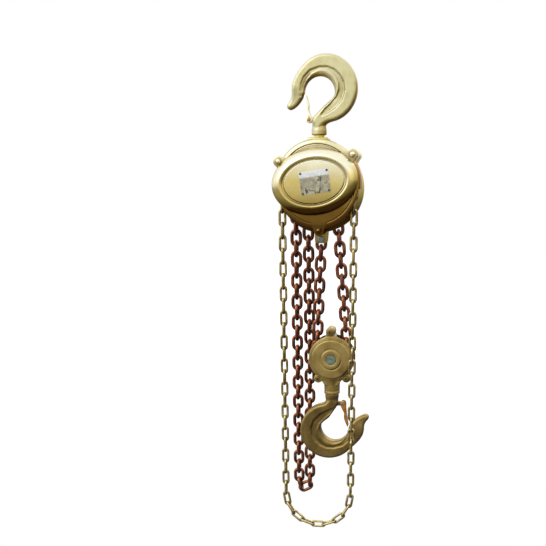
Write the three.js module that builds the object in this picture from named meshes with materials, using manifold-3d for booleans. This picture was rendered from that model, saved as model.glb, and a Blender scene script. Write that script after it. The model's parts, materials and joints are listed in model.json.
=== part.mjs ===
// Hand chain hoist, hung by its top hook. Units are millimetres: X to the right, Y away from the
// hand-wheel side, Z up. The origin is the saddle of the top hook, where a beam shackle bears.
import * as THREE from "three";
import { mergeVertices } from "three/addons/utils/BufferGeometryUtils.js";
import Module from "manifold-3d";

const wasm = await Module();
wasm.setup();

// Clearances
const GAP = 0.3; // between two faces that touch in the real hoist, and round a shaft in its bore
const CROWN = 0.24; // how deep neighbouring links of one strand bite, so that a strand is one body
const BACKLASH = 0.4; // play of a gear pair at the pitch circle
const SEAT = 0.6; // air between a chain link and the wheel that carries it

// Chains: wire diameter, inner length of a link (its pitch), outer width, and half a link's
// outline, as shares of half its width and half its length
const LOAD = { wire: 7.1, pitch: 21, width: 23.8, outline: [[1, 0], [0.72, 1], [-0.72, 1]] };
const HAND = { wire: 5, pitch: 23.7, width: 15.6, outline: [[1, -0.66], [1, 0.66], [0, 1]] };
const SHEAVE_POCKETS = 4;
const WHEEL_POCKETS = 9;
const IDLE_LINKS = 5; // links that lie round the lower sheave
const RISING_LINKS = 16; // links between the load sheave and the lower sheave
const ANCHOR_LINKS = 11; // links between the lower sheave and the anchor bolt
const SLACK_LINKS = 30; // links of the slack fall that leaves the load sheave
const STORED_LINKS = 27; // links of the slack fall that hangs from the slack pin
const HAND_LINKS = 26; // links of each straight fall of the hand chain
const SHEAVE_PHASE = rad(-12); // where the rising fall leaves the load sheave
const IDLE_START = rad(-8); // where it meets the lower sheave
const IDLE_WRAP = rad(187);

// Sides of large, middling and small rounds
const LARGE = 20;
const MIDDLE = 12;
const SMALL = 8;

// Hooks
const BOWL = 28.5;
const BACK = 57.8; // radius of the round back
const HOOK_THICK = 27;
const BLOCK_X = 27; // axis of the hook block and the lower hook
const HOOK_BEVEL = 5.5;
const TOP_HOOK = { tip: -1, up: 1, x: 0, bowlX: 1.3, size: 1, flank: 23.5, reach: 65, collar: 8 };
const LOWER_HOOK = { tip: 1, up: -1, x: BLOCK_X, bowlX: BLOCK_X + 6.5, size: 1.03, flank: 31, reach: 63.4, collar: 6 };
const TOP_PIVOT = { x: -19.8, z: -46.3 }; // latch pivot from the centre of the bowl
const LOWER_PIVOT = { x: -16.6, z: -49.5 };
const LATCH_SHEET = 1.5;
const LATCH_EYE = 5.6;
const RIVET_RADIUS = 2.5;

// Top suspension: heights follow from the hook's collar, which ends at its reach
const SHANK = 10;
const COLLAR = 14.2;
const NECK_SHOWS = 4.5; // of the shank, between collar and yoke
const YOKE_TOP = -(BOWL + TOP_HOOK.size * TOP_HOOK.reach + TOP_HOOK.collar + NECK_SHOWS);
const YOKE_HEIGHT = 37;
const YOKE_BOTTOM = YOKE_TOP - YOKE_HEIGHT;
const YOKE_HALF = 19.5;
const SHOULDER_HALF = 35;
const SHOULDER_TOP = YOKE_TOP - 9.5;
const TRUNNION_Z = YOKE_TOP - 24;
const TRUNNION_RADIUS = 8;
const LEDGE = 12; // metal under the head of the nut that carries a hook
const HOOK_NUT_RADIUS = 13;
const HOOK_NUT_HEIGHT = 14;

// Axes
const DRIVE_X = 5;
const DRIVE_Z = YOKE_TOP - 84;
const HAND_Y = -52;
const SLACK_X = DRIVE_X - 51;
const SLACK_Z = DRIVE_Z - 50.9;
const ANCHOR_X = 4.8;
const ROLL = rad(8); // the unloaded housing hangs turned by this much

// Frame
const PLATE_INNER = 19; // from the chain plane to a side plate
const PLATE_OUTER = 24;
const PLATE_RADIUS = 80;
const PLATE_Z = DRIVE_Z - 7;
const STAYS = [
  { name: "left", x: DRIVE_X - 72, z: DRIVE_Z + 40.5 },
  { name: "right", x: DRIVE_X + 65.5, z: DRIVE_Z + 52.5 },
  { name: "bottom", x: DRIVE_X + 3.5, z: DRIVE_Z - 82 },
];
const STAY_RADIUS = 4.5;
const EAR_RADIUS = 9;
const NUT_RADIUS = 5.8;
const NUT_HEIGHT = 6.5;

// Gear train: two equal stages of a pinion and a gear
const MODULE = 2;
const PINION_TEETH = 8;
const GEAR_TEETH = 30;
const SHIFT = 0.5; // profile shift, plus on the pinions and minus on the gears
const TOPPING = 0.5; // taken off the pinions' tips, which would run to a point
const CENTRES = (MODULE * (PINION_TEETH + GEAR_TEETH)) / 2;
const LOAD_GEAR_Y = [27.2, 35];
const FIRST_GEAR_Y = [38, 46];
const IDLER_TILT = rad(20);
const SHAFT_RADIUS = 8;
const PINION_SHAFT = 5.4;
const SLEEVE_RADIUS = 14;
const BEARING = { inner: 20.3, outer: 26 };

// Brake and hand wheel
const BRAKE_RADIUS = 30;
const RATCHET_TEETH = 12;
const RATCHET_ROOT = 33;
const RATCHET_TIP = 38;
const PAWL_REACH = 50;
const PAWL_ANGLE = rad(118);
const DISC_THICK = 2.2;
const RATCHET_THICK = 4.4;
const HUB_FLANGE = 3;
const WHEEL_HALF = 10.5;

// Covers
const SHEET = 2;
const SKIRT_SHEET = 1.5;
const SKIRT_FRONT = -64.5; // inside of the front wall
const DOME_X = 0.6;
const DOME_Z = DRIVE_Z + 4.5;
const DOME_A = 81;
const DOME_B = 58.5;
const DOME_RISE = 15;
const PANEL_A = 60;
const PANEL_B = 40;
const NAMEPLATE = { x: 2.8, z: DRIVE_Z + 4.6, width: 55, height: 41, thick: 0.8, margin: 6.2, drawn: 0.2 };
const COVER_RADIUS = 75.7;
const COVER_BACK = 56;
const BEAD_RADIUS = 56;

// Lower block
const BLOCK_RADIUS = 46.5;
const BLOCK_CAVITY = 13.6;
const BLOCK_HALF = 18;
const CAP_RADIUS = 38;
const CAP_RISE = 7;
const BOSS_RADIUS = 20;
const BLOCK_EAR = 7.4;
const SCREW_RADIUS = 3;
const AXLE_RADIUS = 9.5;
const NECK_HALF = 16.2;
const NECK_LENGTH = 75; // from the block's axis to the hook's collar

const FINISH = {
  hook: { color: 0xb5a66a, roughness: 0.45, metalness: 0.75 },
  bronze: { color: 0x8f7a45, roughness: 0.42, metalness: 0.6 },
  brass: { color: 0xcdb765, roughness: 0.25, metalness: 0.9 },
  gold: { color: 0xd9bb2a, roughness: 0.35, metalness: 0.7 },
  copper: { color: 0xb5703a, roughness: 0.4, metalness: 0.8 },
  loadChain: { color: 0x7a4630, roughness: 0.45, metalness: 0.75 },
  handChain: { color: 0x8c7a3e, roughness: 0.4, metalness: 0.85 },
  silver: { color: 0xc9cdc8, roughness: 0.3, metalness: 0.9 },
  steel: { color: 0x8a8d8c, roughness: 0.4, metalness: 0.9 },
  castIron: { color: 0x5e5a50, roughness: 0.65, metalness: 0.6 },
  friction: { color: 0x6a4a34, roughness: 0.9, metalness: 0.05 },
  spring: { color: 0x4a4f55, roughness: 0.35, metalness: 0.9 },
};

// The joints of a chain that wraps a wheel lie on a circle of this radius
const SHEAVE_RADIUS = jointCircle(LOAD.pitch, Math.PI / SHEAVE_POCKETS);
const WHEEL_RADIUS = jointCircle(HAND.pitch, Math.PI / WHEEL_POCKETS);
const IDLE_RADIUS = jointCircle(LOAD.pitch, IDLE_WRAP / IDLE_LINKS);

const hoist = new THREE.Group();
hoist.name = "chain_hoist";

function rad(degrees) {
  return (degrees * Math.PI) / 180;
}

function jointCircle(pitch, step) {
  return pitch / 2 / Math.sin(step / 2);
}

// Corner radius of a bore whose flats clear the corners of a shaft that turns in it
function fitted(radius, sides) {
  return (radius + GAP) / Math.cos(Math.PI / sides);
}

// A closed body that faces out, from a three.js geometry
function solid(geometry) {
  const plain = geometry.clone();
  plain.deleteAttribute("normal");
  plain.deleteAttribute("uv");
  const merged = mergeVertices(plain, 1e-4);
  const at = merged.getAttribute("position").array;
  const index = merged.index.array;
  const kept = [];
  const corner = (k) => new THREE.Vector3(at[3 * k], at[3 * k + 1], at[3 * k + 2]);
  let volume = 0;
  for (let i = 0; i < index.length; i += 3) {
    const [a, b, c] = [index[i], index[i + 1], index[i + 2]];
    if (a !== b && b !== c && c !== a) {
      kept.push([a, b, c]);
      volume += corner(a).dot(corner(b).cross(corner(c)));
    }
  }
  const faces = volume < 0 ? kept.map(([a, b, c]) => [b, a, c]) : kept;
  return new wasm.Manifold(new wasm.Mesh({
    numProp: 3,
    vertProperties: new Float32Array(at),
    triVerts: new Uint32Array(faces.flat()),
  }));
}

function add(name, body, finish) {
  const mesh = body.getMesh();
  const geometry = new THREE.BufferGeometry();
  geometry.setAttribute("position", new THREE.BufferAttribute(new Float32Array(mesh.vertProperties), 3));
  geometry.setIndex(new THREE.BufferAttribute(new Uint32Array(mesh.triVerts), 1));
  geometry.computeVertexNormals();
  const node = new THREE.Mesh(geometry, new THREE.MeshStandardMaterial(finish));
  node.name = name;
  hoist.add(node);
}

function union(bodies) {
  return bodies.reduce((whole, next) => whole.add(next));
}

function without(body, tools) {
  return tools.reduce((whole, tool) => whole.subtract(tool), body);
}

// A shape drawn in X and Z, from y0 to y1
function slab(shape, y0, y1, bevel = 0, sides = MIDDLE) {
  const geometry = new THREE.ExtrudeGeometry(shape, {
    depth: y1 - y0 - 2 * bevel,
    curveSegments: sides / 2,
    bevelEnabled: bevel > 0,
    bevelThickness: bevel,
    bevelSize: bevel,
    bevelOffset: -bevel,
    bevelSegments: 1,
  });
  geometry.rotateX(Math.PI / 2);
  geometry.translate(0, y1 - bevel, 0);
  return solid(geometry);
}

function box(x0, x1, y0, y1, z0, z1) {
  const geometry = new THREE.BoxGeometry(x1 - x0, y1 - y0, z1 - z0);
  geometry.translate((x0 + x1) / 2, (y0 + y1) / 2, (z0 + z1) / 2);
  return solid(geometry);
}

// A solid of revolution: the profile is a list of [radius, height] and closes on itself
function turned(profile, sides, place) {
  const points = profile.map(([r, h]) => new THREE.Vector2(r, h));
  if (points[0].x > 0 || points[points.length - 1].x > 0) {
    points.push(points[0].clone());
  }
  const geometry = new THREE.LatheGeometry(points, sides);
  return solid(place(geometry));
}

const alongY = (x, z) => (geometry) => geometry.translate(x, 0, z);
const alongZ = (x, y) => (geometry) => geometry.rotateX(Math.PI / 2).translate(x, y, 0);

function bar(radius, from, to, sides, place) {
  return turned([[0, from], [radius, from], [radius, to], [0, to]], sides, place);
}

function ring(inner, outer, from, to, sides, place) {
  return turned([[inner, from], [outer, from], [outer, to], [inner, to]], sides, place);
}

// A hexagon nut with a round bore
function hexNut(bore, radius, from, to, place) {
  return bar(radius, from, to, 6, place).subtract(bar(bore, from - 1, to + 1, 12, place));
}

// A domed nut or bolt head along Y, its flat face at from
function dome(radius, from, to, place) {
  const mid = from + 0.5 * (to - from);
  return turned([[0, from], [radius, from], [radius, mid], [0.7 * radius, to], [0, to]], SMALL + 2, place);
}

function circle(x, z, radius) {
  const shape = new THREE.Shape();
  shape.absarc(x, z, radius, 0, 2 * Math.PI, false);
  return shape;
}

function polygon(points) {
  return new THREE.Shape(points.map(([x, z]) => new THREE.Vector2(x, z)));
}

// Chains
// One link: a flat ring round the line from one joint to the next. Its plane holds that line, and
// it faces -Y or stands on edge.
function link(chain, from, to, facing) {
  const inPlane = (chain.wire + CROWN) / 2;
  const across = 0.45 * chain.wire;
  const outerX = chain.width / 2;
  const innerX = outerX - 2 * inPlane;
  const outerZ = chain.pitch / 2 + chain.wire + CROWN / 2;
  const innerZ = outerZ - 2 * inPlane;
  const half = chain.outline.map(([u, w]) => [u * outerX, w * outerZ]);
  const shape = polygon([...half, ...half.map(([u, w]) => [-u, -w])]);
  shape.holes.push(polygon([[innerX, -innerZ], [-innerX, -innerZ], [-innerX, innerZ], [innerX, innerZ]]));
  const geometry = new THREE.ExtrudeGeometry(shape, { depth: 2 * across, bevelEnabled: false });
  geometry.translate(0, 0, -across);
  const along = new THREE.Vector3().subVectors(to, from).normalize();
  const deep = new THREE.Vector3(0, 1, 0).addScaledVector(along, -along.y).normalize();
  const wide = new THREE.Vector3().crossVectors(along, deep);
  const frame = new THREE.Matrix4().makeBasis(facing ? wide : deep.clone().negate(), along, facing ? deep : wide);
  frame.setPosition(new THREE.Vector3().addVectors(from, to).multiplyScalar(0.5));
  geometry.applyMatrix4(frame);
  return solid(geometry);
}

// A strand through the given joints. first tells whether its first link faces -Y.
function strand(chain, joints, first) {
  const links = [];
  for (let i = 1; i < joints.length; i += 1) {
    links.push(link(chain, joints[i - 1], joints[i], i % 2 === 1 ? first : !first));
  }
  return wasm.Manifold.union(links);
}

// Joints on an arc about x, z, with the first one left out
function arc(x, y, z, radius, start, step, count) {
  return Array.from({ length: count }, (_, i) => {
    const a = start + step * (i + 1);
    return new THREE.Vector3(x + radius * Math.cos(a), y, z + radius * Math.sin(a));
  });
}

function between(from, to, count) {
  return Array.from({ length: count }, (_, i) => from.clone().lerp(to, (i + 1) / count));
}

// Load chain: the sheave phase gives where each fall starts, and the number of links where it ends
const sheaveStep = Math.PI / SHEAVE_POCKETS;
const sheaveOut = new THREE.Vector3(
  DRIVE_X + SHEAVE_RADIUS * Math.cos(SHEAVE_PHASE), 0, DRIVE_Z + SHEAVE_RADIUS * Math.sin(SHEAVE_PHASE),
);
const idleInX = BLOCK_X + IDLE_RADIUS * Math.cos(IDLE_START);
const hooked = 2 * GAP + CROWN; // shortens the step between two strands, so that their links stay apart
const risingLength = RISING_LINKS * LOAD.pitch - hooked;
const risingDrop = Math.sqrt(risingLength ** 2 - (idleInX - sheaveOut.x) ** 2);
const BLOCK_Z = sheaveOut.z - risingDrop - IDLE_RADIUS * Math.sin(IDLE_START);
const idleIn = new THREE.Vector3(idleInX, 0, BLOCK_Z + IDLE_RADIUS * Math.sin(IDLE_START));
const risingStart = sheaveOut.clone().lerp(idleIn, -hooked / risingLength);
const idleArc = arc(BLOCK_X, 0, BLOCK_Z, IDLE_RADIUS, IDLE_START, -IDLE_WRAP / IDLE_LINKS, IDLE_LINKS);
const idleOut = idleArc[IDLE_LINKS - 1];
const anchorLength = ANCHOR_LINKS * LOAD.pitch;
const anchorTop = new THREE.Vector3(
  ANCHOR_X, 0, idleOut.z + Math.sqrt(anchorLength ** 2 - (ANCHOR_X - idleOut.x) ** 2),
);
const PIN_RADIUS = LOAD.width / 2 - LOAD.wire - CROWN - 0.35;
const ANCHOR_Z = anchorTop.z - CROWN / 2 - GAP - PIN_RADIUS;
add("load_chain_falls", strand(LOAD, [
  risingStart, ...between(risingStart, idleIn, RISING_LINKS), ...idleArc,
  ...between(idleOut, anchorTop, ANCHOR_LINKS),
], false), FINISH.loadChain);

// The slack falls stand back from the chain plane, clear of the lower hook
const SLACK_BACK = HOOK_THICK / 2 + LOAD.width / 2 + 1.6;
const HANG_LINKS = 3; // links that hang straight below the load sheave
const BACK_LINKS = 13; // links over which the running slack fall goes back
const storedTop = new THREE.Vector3(SLACK_X, 0, SLACK_Z + PIN_RADIUS + GAP + CROWN / 2);
const storedDrop = Math.sqrt((STORED_LINKS * LOAD.pitch) ** 2 - SLACK_BACK ** 2 - 4);
const storedEnd = new THREE.Vector3(SLACK_X - 2, SLACK_BACK, storedTop.z - storedDrop);
const slackStart = arc(DRIVE_X, 0, DRIVE_Z, SHEAVE_RADIUS, SHEAVE_PHASE, sheaveStep, SHEAVE_POCKETS)[SHEAVE_POCKETS - 1];
const slackBend = new THREE.Vector3(slackStart.x, 0, slackStart.z - HANG_LINKS * LOAD.pitch);
const backDrop = Math.sqrt((BACK_LINKS * LOAD.pitch) ** 2 - SLACK_BACK ** 2 - 2.25);
const slackMid = new THREE.Vector3(slackBend.x - 1.5, SLACK_BACK, slackBend.z - backDrop);
const restLinks = SLACK_LINKS - BACK_LINKS - HANG_LINKS;
const slackEnd = new THREE.Vector3(slackMid.x - 1, SLACK_BACK, slackMid.z - restLinks * LOAD.pitch);
const chord = storedEnd.distanceTo(slackEnd);
const sag = Math.sqrt(LOAD.pitch ** 2 - (chord / 2) ** 2);
const lean = Math.atan2(slackEnd.z - storedEnd.z, slackEnd.x - storedEnd.x);
const turnPoint = storedEnd.clone().lerp(slackEnd, 0.5);
turnPoint.x += sag * Math.sin(lean);
turnPoint.z -= sag * Math.cos(lean);
const wrap = arc(
  DRIVE_X, 0, DRIVE_Z, SHEAVE_RADIUS, SHEAVE_PHASE + Math.PI, -sheaveStep, SHEAVE_POCKETS,
);
add("load_chain_slack", strand(LOAD, [
  storedTop, ...between(storedTop, storedEnd, STORED_LINKS), turnPoint, slackEnd,
  ...between(slackEnd, slackMid, restLinks), ...between(slackMid, slackBend, BACK_LINKS),
  ...between(slackBend, slackStart, HANG_LINKS), ...wrap,
], true), FINISH.loadChain);

// Hand chain: over the hand wheel, straight down on both sides and round below
const handStep = Math.PI / WHEEL_POCKETS;
const handLow = DRIVE_Z - HAND_LINKS * HAND.pitch;
const handLeft = new THREE.Vector3(DRIVE_X - WHEEL_RADIUS, HAND_Y, DRIVE_Z);
const handRight = new THREE.Vector3(DRIVE_X + WHEEL_RADIUS, HAND_Y, DRIVE_Z);
const lowLeft = new THREE.Vector3(handLeft.x, HAND_Y, handLow);
const lowRight = new THREE.Vector3(handRight.x, HAND_Y, handLow);
add("hand_chain", strand(HAND, [
  handLeft, ...arc(DRIVE_X, HAND_Y, DRIVE_Z, WHEEL_RADIUS, Math.PI, -handStep, WHEEL_POCKETS),
  ...between(handRight, lowRight, HAND_LINKS),
  ...arc(DRIVE_X, HAND_Y, handLow, WHEEL_RADIUS, 0, -handStep, WHEEL_POCKETS),
  ...between(lowLeft, handLeft, HAND_LINKS),
], false), FINISH.handChain);

// Hooks: one outline, opening to -X with the bowl up, about the centre of the bowl
TOP_HOOK.bowlZ = -BOWL;
LOWER_HOOK.bowlZ = BLOCK_Z - NECK_LENGTH - GAP - LOWER_HOOK.collar - LOWER_HOOK.size * LOWER_HOOK.reach;

function hookShape(spec) {
  const backX = 12.6;
  const backZ = 7.6;
  const flank = -(BOWL + spec.flank);
  const heel = rad(-78);
  const brow = rad(135);
  const side = (-spec.tip * (spec.x - spec.bowlX)) / spec.size;
  const s = new THREE.Shape();
  s.moveTo(side + 11, -spec.reach - 3);
  s.lineTo(side + 11, -60);
  const heelX = backX + BACK * Math.cos(heel);
  const heelZ = backZ + BACK * Math.sin(heel);
  s.quadraticCurveTo(side + 11.4, heelZ - 3.5, heelX, heelZ);
  s.absarc(backX, backZ, BACK, heel, brow, false);
  const browX = backX + BACK * Math.cos(brow);
  const browZ = backZ + BACK * Math.sin(brow);
  s.bezierCurveTo(browX - 15, browZ - 15, flank - 0.8, 20, flank, 3);
  s.bezierCurveTo(flank, -7, flank - 3, -13, flank - 8, -18);
  s.bezierCurveTo(flank - 12.5, -23, flank - 8, -30, flank - 2, -28.6);
  s.bezierCurveTo(flank + 6, -27, -BOWL - 5, -15, -BOWL, 0);
  s.absarc(0, 0, BOWL, Math.PI, 0, true);
  s.bezierCurveTo(BOWL, -9, 18, -14, 11.6, -20);
  s.lineTo(side - 6.8, -38.5);
  s.quadraticCurveTo(side - 13, -46, side - 12.6, -54);
  s.lineTo(side - 12, -spec.reach - 3);
  return s;
}

// From the hook's own plane to the frame of the hoist
function placed(spec, x, z) {
  return [spec.bowlX - spec.tip * spec.size * x, spec.bowlZ + spec.up * spec.size * z];
}

// Half thickness of the ear on the hook that carries the latch, on the rivet's two sides
const EAR_FRONT = 6;
const EAR_BACK = 2.4;

function hook(spec, pivot, ledge, end) {
  const outline = hookShape(spec).getPoints(5);
  const points = outline
    .filter((p, i) => i === 0 || p.distanceTo(outline[i - 1]) > 0.1)
    .map((p) => placed(spec, p.x, p.y));
  const away = -spec.up;
  const start = spec.bowlZ + away * spec.size * spec.reach;
  const face = start + away * spec.collar;
  const shank = turned([
    [0, start - 12 * away], [COLLAR - 3.4, start - 10 * away], [COLLAR, start], [COLLAR, face],
    [SHANK, face], [SHANK, ledge], [SHANK - 2, ledge], [SHANK - 2, end], [0, end],
  ], 12, alongZ(spec.x, 0));
  const [px, pz] = placed(spec, pivot.x, pivot.z);
  const near = LATCH_EYE - 1.4;
  const inward = spec.x - px;
  const ear = slab(circle(px, pz, near), -EAR_FRONT, EAR_BACK, 0, SMALL)
    .add(box(Math.min(px, px + inward), Math.max(px, px + inward), -EAR_FRONT, EAR_BACK, pz - near, pz + near));
  return slab(polygon(points), -HOOK_THICK / 2, HOOK_THICK / 2, HOOK_BEVEL)
    .add(shank)
    .add(ear)
    .subtract(bar(RIVET_RADIUS + GAP, -20, 20, SMALL, alongY(px, pz)));
}

// A pressed latch: an eye on each side of the ear, and a tongue that shuts the throat
function latch(spec, pivot) {
  const [px, pz] = placed(spec, pivot.x, pivot.z);
  const [ex, ez] = placed(spec, -BOWL + 1 + LATCH_SHEET / 2, -3);
  const length = Math.hypot(ex - px, ez - pz);
  const s = new THREE.Shape();
  s.absarc(0, 0, LATCH_EYE, rad(20), rad(-200), true);
  s.lineTo(-3.2, 12);
  s.lineTo(-0.8, 0.6 * length);
  s.lineTo(-0.8, length);
  s.lineTo(0.8, length);
  s.lineTo(2.6, 0.62 * length);
  s.lineTo(4.4, 12);
  const half = EAR_FRONT + GAP + LATCH_SHEET;
  const sheet = 0.8;
  const whole = slab(s, -half, half, 0, SMALL);
  const hollow = box(-12, 12, -half + LATCH_SHEET, half - LATCH_SHEET, -12, LATCH_EYE + 3)
    .add(box(sheet, 12, -half + LATCH_SHEET, half - LATCH_SHEET, 0, length + 2))
    .add(box(-12, -sheet, -half + LATCH_SHEET, half - LATCH_SHEET, 0, length + 2));
  const bore = bar(fitted(RIVET_RADIUS, SMALL), -20, 20, SMALL, alongY(0, 0));
  const turn = (Math.atan2(ex - px, ez - pz) * 180) / Math.PI;
  const body = without(whole, [hollow, bore]);
  const facing = spec.tip < 0 ? body : body.mirror([1, 0, 0]);
  const upright = spec.up > 0 ? facing : facing.mirror([1, 0, 0]);
  return upright.rotate([0, turn, 0]).translate([px, 0, pz]);
}

function rivet(spec, pivot) {
  const [px, pz] = placed(spec, pivot.x, pivot.z);
  const half = EAR_FRONT + 2 * GAP + LATCH_SHEET;
  const head = RIVET_RADIUS + 1.3;
  return turned([
    [0, -half - 1.6], [head - 1, -half - 1.6], [head, -half], [RIVET_RADIUS, -half], [RIVET_RADIUS, half],
    [head, half], [head - 1, half + 1.6], [0, half + 1.6],
  ], SMALL, alongY(px, pz));
}

// A torsion spring round a pin along Y: from one arm's end, round the pin, to the other arm's end
function spring(x, z, radius, wire, y, turns, armA, armB) {
  const lead = (arm) => Math.acos(Math.min(1, radius / Math.hypot(arm[0], arm[1])));
  const start = Math.atan2(armA[1], armA[0]) + lead(armA);
  const end = Math.atan2(armB[1], armB[0]) - lead(armB);
  const sweep = 2 * Math.PI * turns + THREE.MathUtils.euclideanModulo(end - start, 2 * Math.PI);
  const steps = Math.round(sweep / rad(60));
  const rise = ((wire + 0.35) * sweep) / (2 * Math.PI);
  const points = [new THREE.Vector3(x + armA[0], y, z + armA[1])];
  for (let i = 0; i <= steps; i += 1) {
    const a = start + (sweep * i) / steps;
    points.push(new THREE.Vector3(x + radius * Math.cos(a), y + (rise * i) / steps, z + radius * Math.sin(a)));
  }
  points.push(new THREE.Vector3(x + armB[0], y + rise, z + armB[1]));
  const path = new THREE.CatmullRomCurve3(points, false, "centripetal");
  const section = new THREE.Shape();
  section.absarc(0, 0, wire / 2, 0, 2 * Math.PI, false);
  return solid(new THREE.ExtrudeGeometry(section, {
    steps: points.length, curveSegments: 2, extrudePath: path, bevelEnabled: false,
  }));
}

function latchSpring(spec, pivot) {
  const [px, pz] = placed(spec, pivot.x, pivot.z);
  const wire = 0.9;
  const radius = RIVET_RADIUS + GAP + 1.2 * wire;
  const tongue = [-0.5 * spec.tip * -1, 11 * spec.up];
  const neck = [-7 * spec.tip * -1 * -1, 0];
  return spring(px, pz, radius, wire, EAR_BACK + 1.5 * GAP + wire / 2, 1, neck, tongue);
}

const yokeLedge = YOKE_TOP - LEDGE;
const topShankEnd = yokeLedge - HOOK_NUT_HEIGHT - 1.5;
add("top_hook", hook(TOP_HOOK, TOP_PIVOT, yokeLedge, topShankEnd), FINISH.hook);
add("top_hook_nut", hexNut(
  SHANK - 2 + GAP, HOOK_NUT_RADIUS, yokeLedge - GAP - HOOK_NUT_HEIGHT, yokeLedge - GAP, alongZ(0, 0),
), FINISH.steel);
add("top_latch", latch(TOP_HOOK, TOP_PIVOT), FINISH.brass);
add("top_latch_rivet", rivet(TOP_HOOK, TOP_PIVOT), FINISH.copper);

const neckBottom = BLOCK_Z - NECK_LENGTH;
const blockLedge = neckBottom + LEDGE;
const lowerShankEnd = blockLedge + HOOK_NUT_HEIGHT + 1.5;
add("lower_hook", hook(LOWER_HOOK, LOWER_PIVOT, blockLedge, lowerShankEnd), FINISH.bronze);
add("lower_hook_nut", hexNut(
  SHANK - 2 + GAP, HOOK_NUT_RADIUS, blockLedge + GAP, blockLedge + GAP + HOOK_NUT_HEIGHT, alongZ(BLOCK_X, 0),
), FINISH.steel);
add("lower_latch", latch(LOWER_HOOK, LOWER_PIVOT), FINISH.copper);
add("lower_latch_rivet", rivet(LOWER_HOOK, LOWER_PIVOT), FINISH.steel);

add("top_latch_spring", latchSpring(TOP_HOOK, TOP_PIVOT), FINISH.spring);
add("lower_latch_spring", latchSpring(LOWER_HOOK, LOWER_PIVOT), FINISH.spring);

// Yoke: a block that carries the hook's nut in a pocket, and swings on two trunnions
add("yoke", without(
  union([
    box(-YOKE_HALF, YOKE_HALF, -PLATE_INNER + GAP, PLATE_INNER - GAP, YOKE_BOTTOM, YOKE_TOP),
    bar(TRUNNION_RADIUS, -PLATE_OUTER - 1, -PLATE_INNER + 1, 12, alongY(0, TRUNNION_Z)),
    bar(TRUNNION_RADIUS, PLATE_INNER - 1, PLATE_OUTER + 1, 12, alongY(0, TRUNNION_Z)),
  ]),
  [
    bar(fitted(SHANK, 12), yokeLedge - 5, YOKE_TOP + 5, 12, alongZ(0, 0)),
    bar(HOOK_NUT_RADIUS + 1.2, YOKE_BOTTOM - 5, yokeLedge, 12, alongZ(0, 0)),
  ],
), FINISH.gold);

// Side plates
const idlers = [IDLER_TILT, IDLER_TILT + Math.PI].map((a) => ({
  angle: a,
  x: DRIVE_X + CENTRES * Math.cos(a),
  z: DRIVE_Z + CENTRES * Math.sin(a),
}));
const pawlX = DRIVE_X + PAWL_REACH * Math.cos(PAWL_ANGLE);
const pawlZ = DRIVE_Z + PAWL_REACH * Math.sin(PAWL_ANGLE);
const PAWL_PIN = 3;
const IDLER_SHAFT = 5;
const STAY_SHOULDER = 6.2;

// An ear round a stay, with a web that widens towards the drive axis
function ear(stay, radius, y0, y1) {
  const away = Math.atan2(stay.z - DRIVE_Z, stay.x - DRIVE_X);
  const at = (u, v) => [
    stay.x + u * Math.cos(away) - v * Math.sin(away), stay.z + u * Math.sin(away) + v * Math.cos(away),
  ];
  const web = polygon([at(0, -radius), at(0, radius), at(-22, radius + 9), at(-22, -radius - 9)]);
  return slab(circle(stay.x, stay.z, radius), y0, y1, 0, MIDDLE).add(slab(web, y0, y1));
}

function sidePlate(y0, y1, extraBores) {
  const arm = [[-SHOULDER_HALF, SHOULDER_TOP - 8], [-SHOULDER_HALF + 8, SHOULDER_TOP],
    [SHOULDER_HALF - 8, SHOULDER_TOP], [SHOULDER_HALF, SHOULDER_TOP - 8], [SHOULDER_HALF, PLATE_Z],
    [-SHOULDER_HALF, PLATE_Z]];
  const parts = [slab(circle(DRIVE_X, PLATE_Z, PLATE_RADIUS), y0, y1, 0, LARGE), slab(polygon(arm), y0, y1)];
  STAYS.forEach((stay) => parts.push(ear(stay, EAR_RADIUS, y0, y1)));
  const bores = [
    bar(BEARING.outer + GAP, -40, 40, MIDDLE, alongY(DRIVE_X, DRIVE_Z)),
    bar(fitted(TRUNNION_RADIUS, 12), -40, 40, 12, alongY(0, TRUNNION_Z)),
    bar(PIN_RADIUS + GAP, -40, 40, SMALL, alongY(SLACK_X, SLACK_Z)),
    ...STAYS.map((stay) => bar(STAY_RADIUS + GAP, -40, 40, SMALL, alongY(stay.x, stay.z))),
    ...extraBores,
  ];
  return without(union(parts), bores);
}

add("side_plate_wheel", sidePlate(-PLATE_OUTER, -PLATE_INNER, [
  bar(PAWL_PIN + GAP, -40, 40, SMALL, alongY(pawlX, pawlZ)),
]), FINISH.brass);
add("side_plate_gear", sidePlate(
  PLATE_INNER, PLATE_OUTER, idlers.map((g) => bar(fitted(IDLER_SHAFT, SMALL), -40, 40, SMALL, alongY(g.x, g.z))),
), FINISH.brass);

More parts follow.
